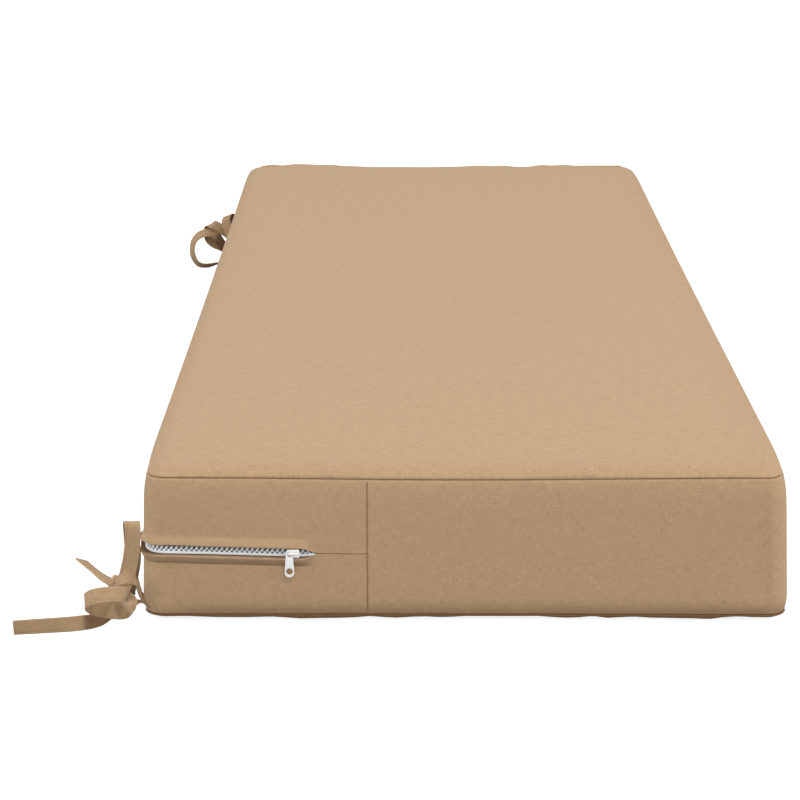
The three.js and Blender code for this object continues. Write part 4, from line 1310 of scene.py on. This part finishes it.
class CUSHION_OT_slider(bpy.types.Operator):
    """Makes the zip's slider with its bridge, and the pull tab that hangs from it"""

    bl_idname = "back_cushion.slider"
    bl_label = "Slider and pull tab"

    def execute(self, context):
        face, height = slider_place()
        back = face + 0.0004
        front = face - SLIDER_FACE
        size = (SLIDER_LENGTH, back - front, SLIDER_HEIGHT)
        plate = box("slider", size, (SLIDER_X, (back + front) / 2, height))
        bpy.ops.object.mode_set(mode="EDIT")
        bpy.ops.mesh.select_all(action="DESELECT")
        work = bmesh.from_edit_mesh(plate.data)
        for edge in work.edges:
            a, b = edge.verts
            edge.select = abs(a.co.y - b.co.y) > 0.001
        bmesh.update_edit_mesh(plate.data)
        bpy.ops.mesh.bevel(offset=0.0017, segments=6)
        bpy.ops.object.mode_set(mode="OBJECT")
        round_edges(plate, 0.0005, 3)
        rise = height + BRIDGE_RISE
        span = SLIDER_LENGTH - 2 * BRIDGE_WIDTH
        arch = box("bridge", (span + BRIDGE_WIDTH, BRIDGE_TOP - SLIDER_FACE + 0.0004, BRIDGE_WIDTH),
                   (SLIDER_X, face - (BRIDGE_TOP + SLIDER_FACE - 0.0004) / 2, rise))
        opening = box("opening", (span - BRIDGE_WIDTH, BRIDGE_TOP - SLIDER_FACE - 0.0008, 0.01),
                      (SLIDER_X, face - SLIDER_FACE - (BRIDGE_TOP - SLIDER_FACE - 0.0012) / 2 + 0.0002, rise))
        cut(arch, opening)
        round_edges(arch, 0.0003, 3)
        bpy.ops.object.select_all(action="DESELECT")
        arch.select_set(True)
        plate.select_set(True)
        bpy.context.view_layer.objects.active = plate
        bpy.ops.object.join()
        lacquer = plastic_material("slider_lacquer", settings().slider_colour, 0.3, 500)
        plate.data.materials.clear()
        plate.data.materials.append(lacquer)
        tab = self.pull_tab(face, rise)
        tab.data.materials.clear()
        tab.data.materials.append(lacquer)
        for piece, node in ((plate, "zip_slider"), (tab, "zip_pull")):
            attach(piece, "root")
            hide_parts(node)
        return {"FINISHED"}

    def pull_tab(self, face, rise):
        """Tapered plate with a round foot, a large hole in it and a small eye round the bridge's left leg"""
        left = SLIDER_X - (SLIDER_LENGTH - 2 * BRIDGE_WIDTH) / 2
        foot, neck = PULL_WIDTH / 2, PULL_NECK / 2
        eye_to_foot = PULL_LENGTH - neck - foot
        middle = face - PULL_BACK - PULL_THICKNESS / 2
        tab = post(foot, PULL_THICKNESS, (left, middle, rise - eye_to_foot), 48)
        tab.name = "pull_tab"
        select_points(tab, lambda place: place.z > rise - eye_to_foot + 1e-5)
        bpy.ops.transform.translate(value=(0, 0, eye_to_foot))
        bpy.ops.transform.resize(value=(neck / foot, 1, neck / foot), center_override=(left, middle, rise))
        bpy.ops.object.mode_set(mode="OBJECT")
        cut(tab, post(PULL_HOLE_RADIUS, 0.01, (left, middle, rise - eye_to_foot + PULL_HOLE_RISE), 40))
        eye = post(PULL_EYE_RADIUS, 0.01, (left, middle, rise), 24)
        select_points(eye, lambda place: place.z < rise - 1e-5)
        bpy.ops.transform.translate(value=(0, 0, -PULL_EYE_DROP))
        bpy.ops.object.mode_set(mode="OBJECT")
        cut(tab, eye)
        round_edges(tab, 0.0003, 3)
        return tab


# Tie straps

def between(low, high, at_low, at_high, value):
    return ((high - value) * at_low + (value - low) * at_high) / (high - low)


def strap_line(route):
    """Smooth middle line through the route's points, with the direction of the strap's width"""
    rows = np.array(route, float)
    points = rows[:, :3] / 1000
    widths = rows[:, 3:] / np.linalg.norm(rows[:, 3:], axis=1)[:, None]
    line, across = [], []
    last = len(points) - 1
    for i in range(last):
        before = points[i - 1] if i > 0 else 2 * points[0] - points[1]
        after = points[i + 2] if i + 2 <= last else 2 * points[last] - points[last - 1]
        knots = [before, points[i], points[i + 1], after]
        t = [0.0]
        for a, b in zip(knots, knots[1:]):
            t.append(t[-1] + max(np.linalg.norm(b - a), 1e-6) ** 0.5)
        for k in range(STRAP_STEPS + (i == last - 1)):
            share = k / STRAP_STEPS
            s = t[1] + (t[2] - t[1]) * share
            level = [between(t[j], t[j + 1], knots[j], knots[j + 1], s) for j in range(3)]
            level = [between(t[j], t[j + 2], level[j], level[j + 1], s) for j in range(2)]
            line.append(between(t[1], t[2], level[0], level[1], s))
            eased = share * share * (3 - 2 * share)
            across.append(widths[i] * (1 - eased) + widths[i + 1] * eased)
    return np.array(line), np.array(across)


# Section of a strap: share of its half width, and share of its half thickness. It is sewn along STRAP_SEAM.
STRAP_SEAM = 0.7
# Painted shade in the groove of the strap's sewn line
STRAP_SEAM_PAINTED_SHADE = 0.35
STRAP_SECTION = (
    (-1, 0), (-0.96, 0.75), (-0.86, 1.05), (-0.76, 1.0), (-0.7, 0.72), (-0.64, 1.0), (-0.3, 0.95),
    (0.3, 0.95), (0.8, 1.0), (0.95, 0.8), (1, 0), (0.95, -0.8), (0.8, -1.0), (0.3, -0.95), (-0.3, -0.95),
    (-0.64, -1.0), (-0.7, -0.72), (-0.76, -1.0), (-0.86, -1.05), (-0.96, -0.75),
)


def strap(name, route, node, shade, light_passes=False):
    """A pressed strap along its route. shade: painted shade along it, as row of the route, slant of the
    crease, and darkness.
    light_passes: whether the room's even light goes through its thin cloth."""
    line, across = strap_line(route)
    along = np.gradient(line, axis=0)
    along /= np.linalg.norm(along, axis=1)[:, None]
    across -= (across * along).sum(axis=1)[:, None] * along
    across /= np.linalg.norm(across, axis=1)[:, None]
    through = np.cross(along, across)
    half, thick = STRAP_WIDTH / 2, STRAP_THICKNESS / 2
    points = np.stack([line + across * w * half + through * t * thick for w, t in STRAP_SECTION], axis=1)
    count, sides = points.shape[:2]
    length = np.concatenate([[0], np.cumsum(np.linalg.norm(np.diff(line, axis=0), axis=1))])
    faces, uvs = [], []
    for i in range(count - 1):
        for k in range(sides):
            a, b = i * sides + k, i * sides + (k + 1) % sides
            faces.append((a, b, b + sides, a + sides))
            v = STRAP_SECTION[k][0] * half, STRAP_SECTION[(k + 1) % sides][0] * half
            uvs += [(length[i], v[0]), (length[i], v[1]), (length[i + 1], v[1]), (length[i + 1], v[0])]
    faces += [tuple(reversed(range(sides))), tuple((count - 1) * sides + k for k in range(sides))]
    uvs += [(0, STRAP_SECTION[k][0] * half) for k in reversed(range(sides))]
    uvs += [(length[-1], STRAP_SECTION[k][0] * half) for k in range(sides)]
    painted_seam_groove_shade = np.array([STRAP_SEAM_PAINTED_SHADE if abs(w) == STRAP_SEAM else 0.0 for w, t in STRAP_SECTION])
    # Painted shade along the strap from its table, and in the groove of its sewn line
    place, slant, darkness = np.array(shade, float).T
    steps = np.arange(count) / STRAP_STEPS
    along_shade = np.stack([np.interp(steps, place + slant * w, darkness) for w, t in STRAP_SECTION], axis=1)
    painted_shade = (along_shade + painted_seam_groove_shade[None, :]).ravel()
    piece = new_object(name, mesh_of(name, points.reshape(-1, 3), faces, uvs, painted_shade))
    cloth = bpy.data.materials.get("strap_cloth") or cloth_material("strap_cloth", settings().strap_colour)
    piece.data.materials.append(cloth)
    piece.visible_diffuse = not light_passes
    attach(piece, "root")
    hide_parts(node)
    return piece


class CUSHION_OT_ties(bpy.types.Operator):
    """Makes the two straps of each tie, knotted at the cushion's left corners"""

    bl_idname = "back_cushion.ties"
    bl_label = "Tie straps"

    def execute(self, context):
        strap("strap_near_tall", NEAR_STRAP_TALL, "tie_near", NEAR_TALL_SHADE, light_passes=True)
        strap("strap_near_ring", NEAR_STRAP_RING, "tie_near", NEAR_RING_SHADE, light_passes=True)
        strap("strap_far_ring", FAR_STRAP_RING, "tie_far", FAR_RING_SHADE)
        strap("strap_far_wrap", FAR_STRAP_WRAP, "tie_far", FAR_WRAP_SHADE)
        return {"FINISHED"}


# Camera, floor and light
LIT_PLACE = (0, -0.2, 0.1)


class CUSHION_OT_camera(bpy.types.Operator):
    """Makes the camera at the photograph's angle"""

    bl_idname = "back_cushion.camera"
    bl_label = "Camera"

    def execute(self, context):
        chosen = stage_settings()
        data = bpy.data.cameras.new("camera")
        data.sensor_width = 36
        data.lens = chosen.camera_lens
        data.clip_end = 50
        camera = bpy.data.objects.new("camera", data)
        bpy.context.scene.collection.objects.link(camera)
        camera.location = chosen.camera_place
        camera.rotation_euler = (math.pi / 2 - chosen.camera_pitch, 0, chosen.camera_yaw)
        bpy.context.scene.camera = camera
        return {"FINISHED"}


def area_light(name, power, size, place):
    """A soft light that points at the cushion's near part"""
    data = bpy.data.lights.new(name, "AREA")
    data.energy = power
    data.shape = "RECTANGLE"
    data.size, data.size_y = size
    lamp = bpy.data.objects.new(name, data)
    bpy.context.scene.collection.objects.link(lamp)
    lamp.location = place
    lamp.rotation_euler = (Vector(LIT_PLACE) - Vector(place)).to_track_quat("-Z", "Y").to_euler()


class CUSHION_OT_stage(bpy.types.Operator):
    """Makes the pale floor and the soft studio light"""

    bl_idname = "back_cushion.stage"
    bl_label = "Floor and light"

    def execute(self, context):
        chosen = stage_settings()
        floor = self.sheet("floor", -0.0008, chosen.floor_shade, 0)
        sweep = self.sheet("sweep", -0.0003, 0.35, chosen.sweep_glow)
        sweep.visible_diffuse = False
        sweep.visible_glossy = False
        sweep.visible_shadow = False
        area_light("key_light", chosen.key_light, (2.4, 2.2), (1.2, -4.2, 5.6))
        area_light("right_light", chosen.right_light, (2.0, 2.0), (3.8, -1.4, 1.6))
        area_light("left_light", chosen.left_light, (2.0, 2.0), (-3.8, -1.4, 1.6))
        world = bpy.data.worlds.new("room")
        bpy.context.scene.world = world
        world.use_nodes = True
        background = world.node_tree.nodes["Background"]
        background.inputs["Color"].default_value = (1, 1, 1, 1)
        background.inputs["Strength"].default_value = chosen.room_light
        view = bpy.context.scene.view_settings
        view.view_transform = "Standard"
        view.look = "None"
        view.exposure = 0
        view.gamma = 1
        return {"FINISHED"}

    def sheet(self, name, height, shade, glow):
        """A large level sheet of paper, which may glow"""
        bpy.ops.object.select_all(action="DESELECT")
        bpy.ops.mesh.primitive_plane_add(size=40, location=(0, 0, height))
        sheet = bpy.context.object
        sheet.name = name
        at_origin(sheet)
        n = Nodes(name + "_paper")
        place = n.add("ShaderNodeTexCoord").outputs["Object"]
        n.to_shader("Base Color", n.shaded((shade, shade, shade), 0.99, 1.01, n.noise(place, 3.0)))
        n.to_shader("Roughness", 0.9)
        n.to_shader("Specular IOR Level", 0.1)
        n.to_shader("Emission Color", (1, 1, 1, 1))
        n.to_shader("Emission Strength", glow)
        sheet.data.materials.append(n.material)
        return sheet


class CUSHION_PT_panel(bpy.types.Panel):
    """Lists the pieces of the cushion in the sidebar"""

    bl_label = "Back cushion"
    bl_idname = "CUSHION_PT_panel"
    bl_space_type = "VIEW_3D"
    bl_region_type = "UI"
    bl_category = "Cushion"

    def draw(self, context):
        for group in (context.scene.back_cushion, context.scene.back_cushion_stage):
            for name in group.__annotations__:
                self.layout.prop(group, name)
        for operator in OPERATORS:
            self.layout.operator(operator.bl_idname)


OPERATORS = (
    CUSHION_OT_camera,
    CUSHION_OT_ties,
    CUSHION_OT_cover,
    CUSHION_OT_zip,
    CUSHION_OT_stitches,
    CUSHION_OT_slider,
    CUSHION_OT_stage,
)
CLASSES = (CushionSettings, StageSettings, *OPERATORS, CUSHION_PT_panel)


def register():
    for item in CLASSES:
        bpy.utils.register_class(item)
    bpy.types.Scene.back_cushion = bpy.props.PointerProperty(
        type=CushionSettings, name="Cushion", description="Sizes and colours of the cushion"
    )
    bpy.types.Scene.back_cushion_stage = bpy.props.PointerProperty(
        type=StageSettings, name="Stage", description="Camera, floor and light"
    )


def unregister():
    del bpy.types.Scene.back_cushion_stage
    del bpy.types.Scene.back_cushion
    for item in reversed(CLASSES):
        bpy.utils.unregister_class(item)


def main():
    register()
    bpy.ops.back_cushion.camera()
    bpy.ops.back_cushion.ties()
    bpy.ops.back_cushion.cover()
    bpy.ops.back_cushion.zip()
    bpy.ops.back_cushion.stitches()
    bpy.ops.back_cushion.slider()
    bpy.ops.back_cushion.stage()


if __name__ == "__main__":
    main()
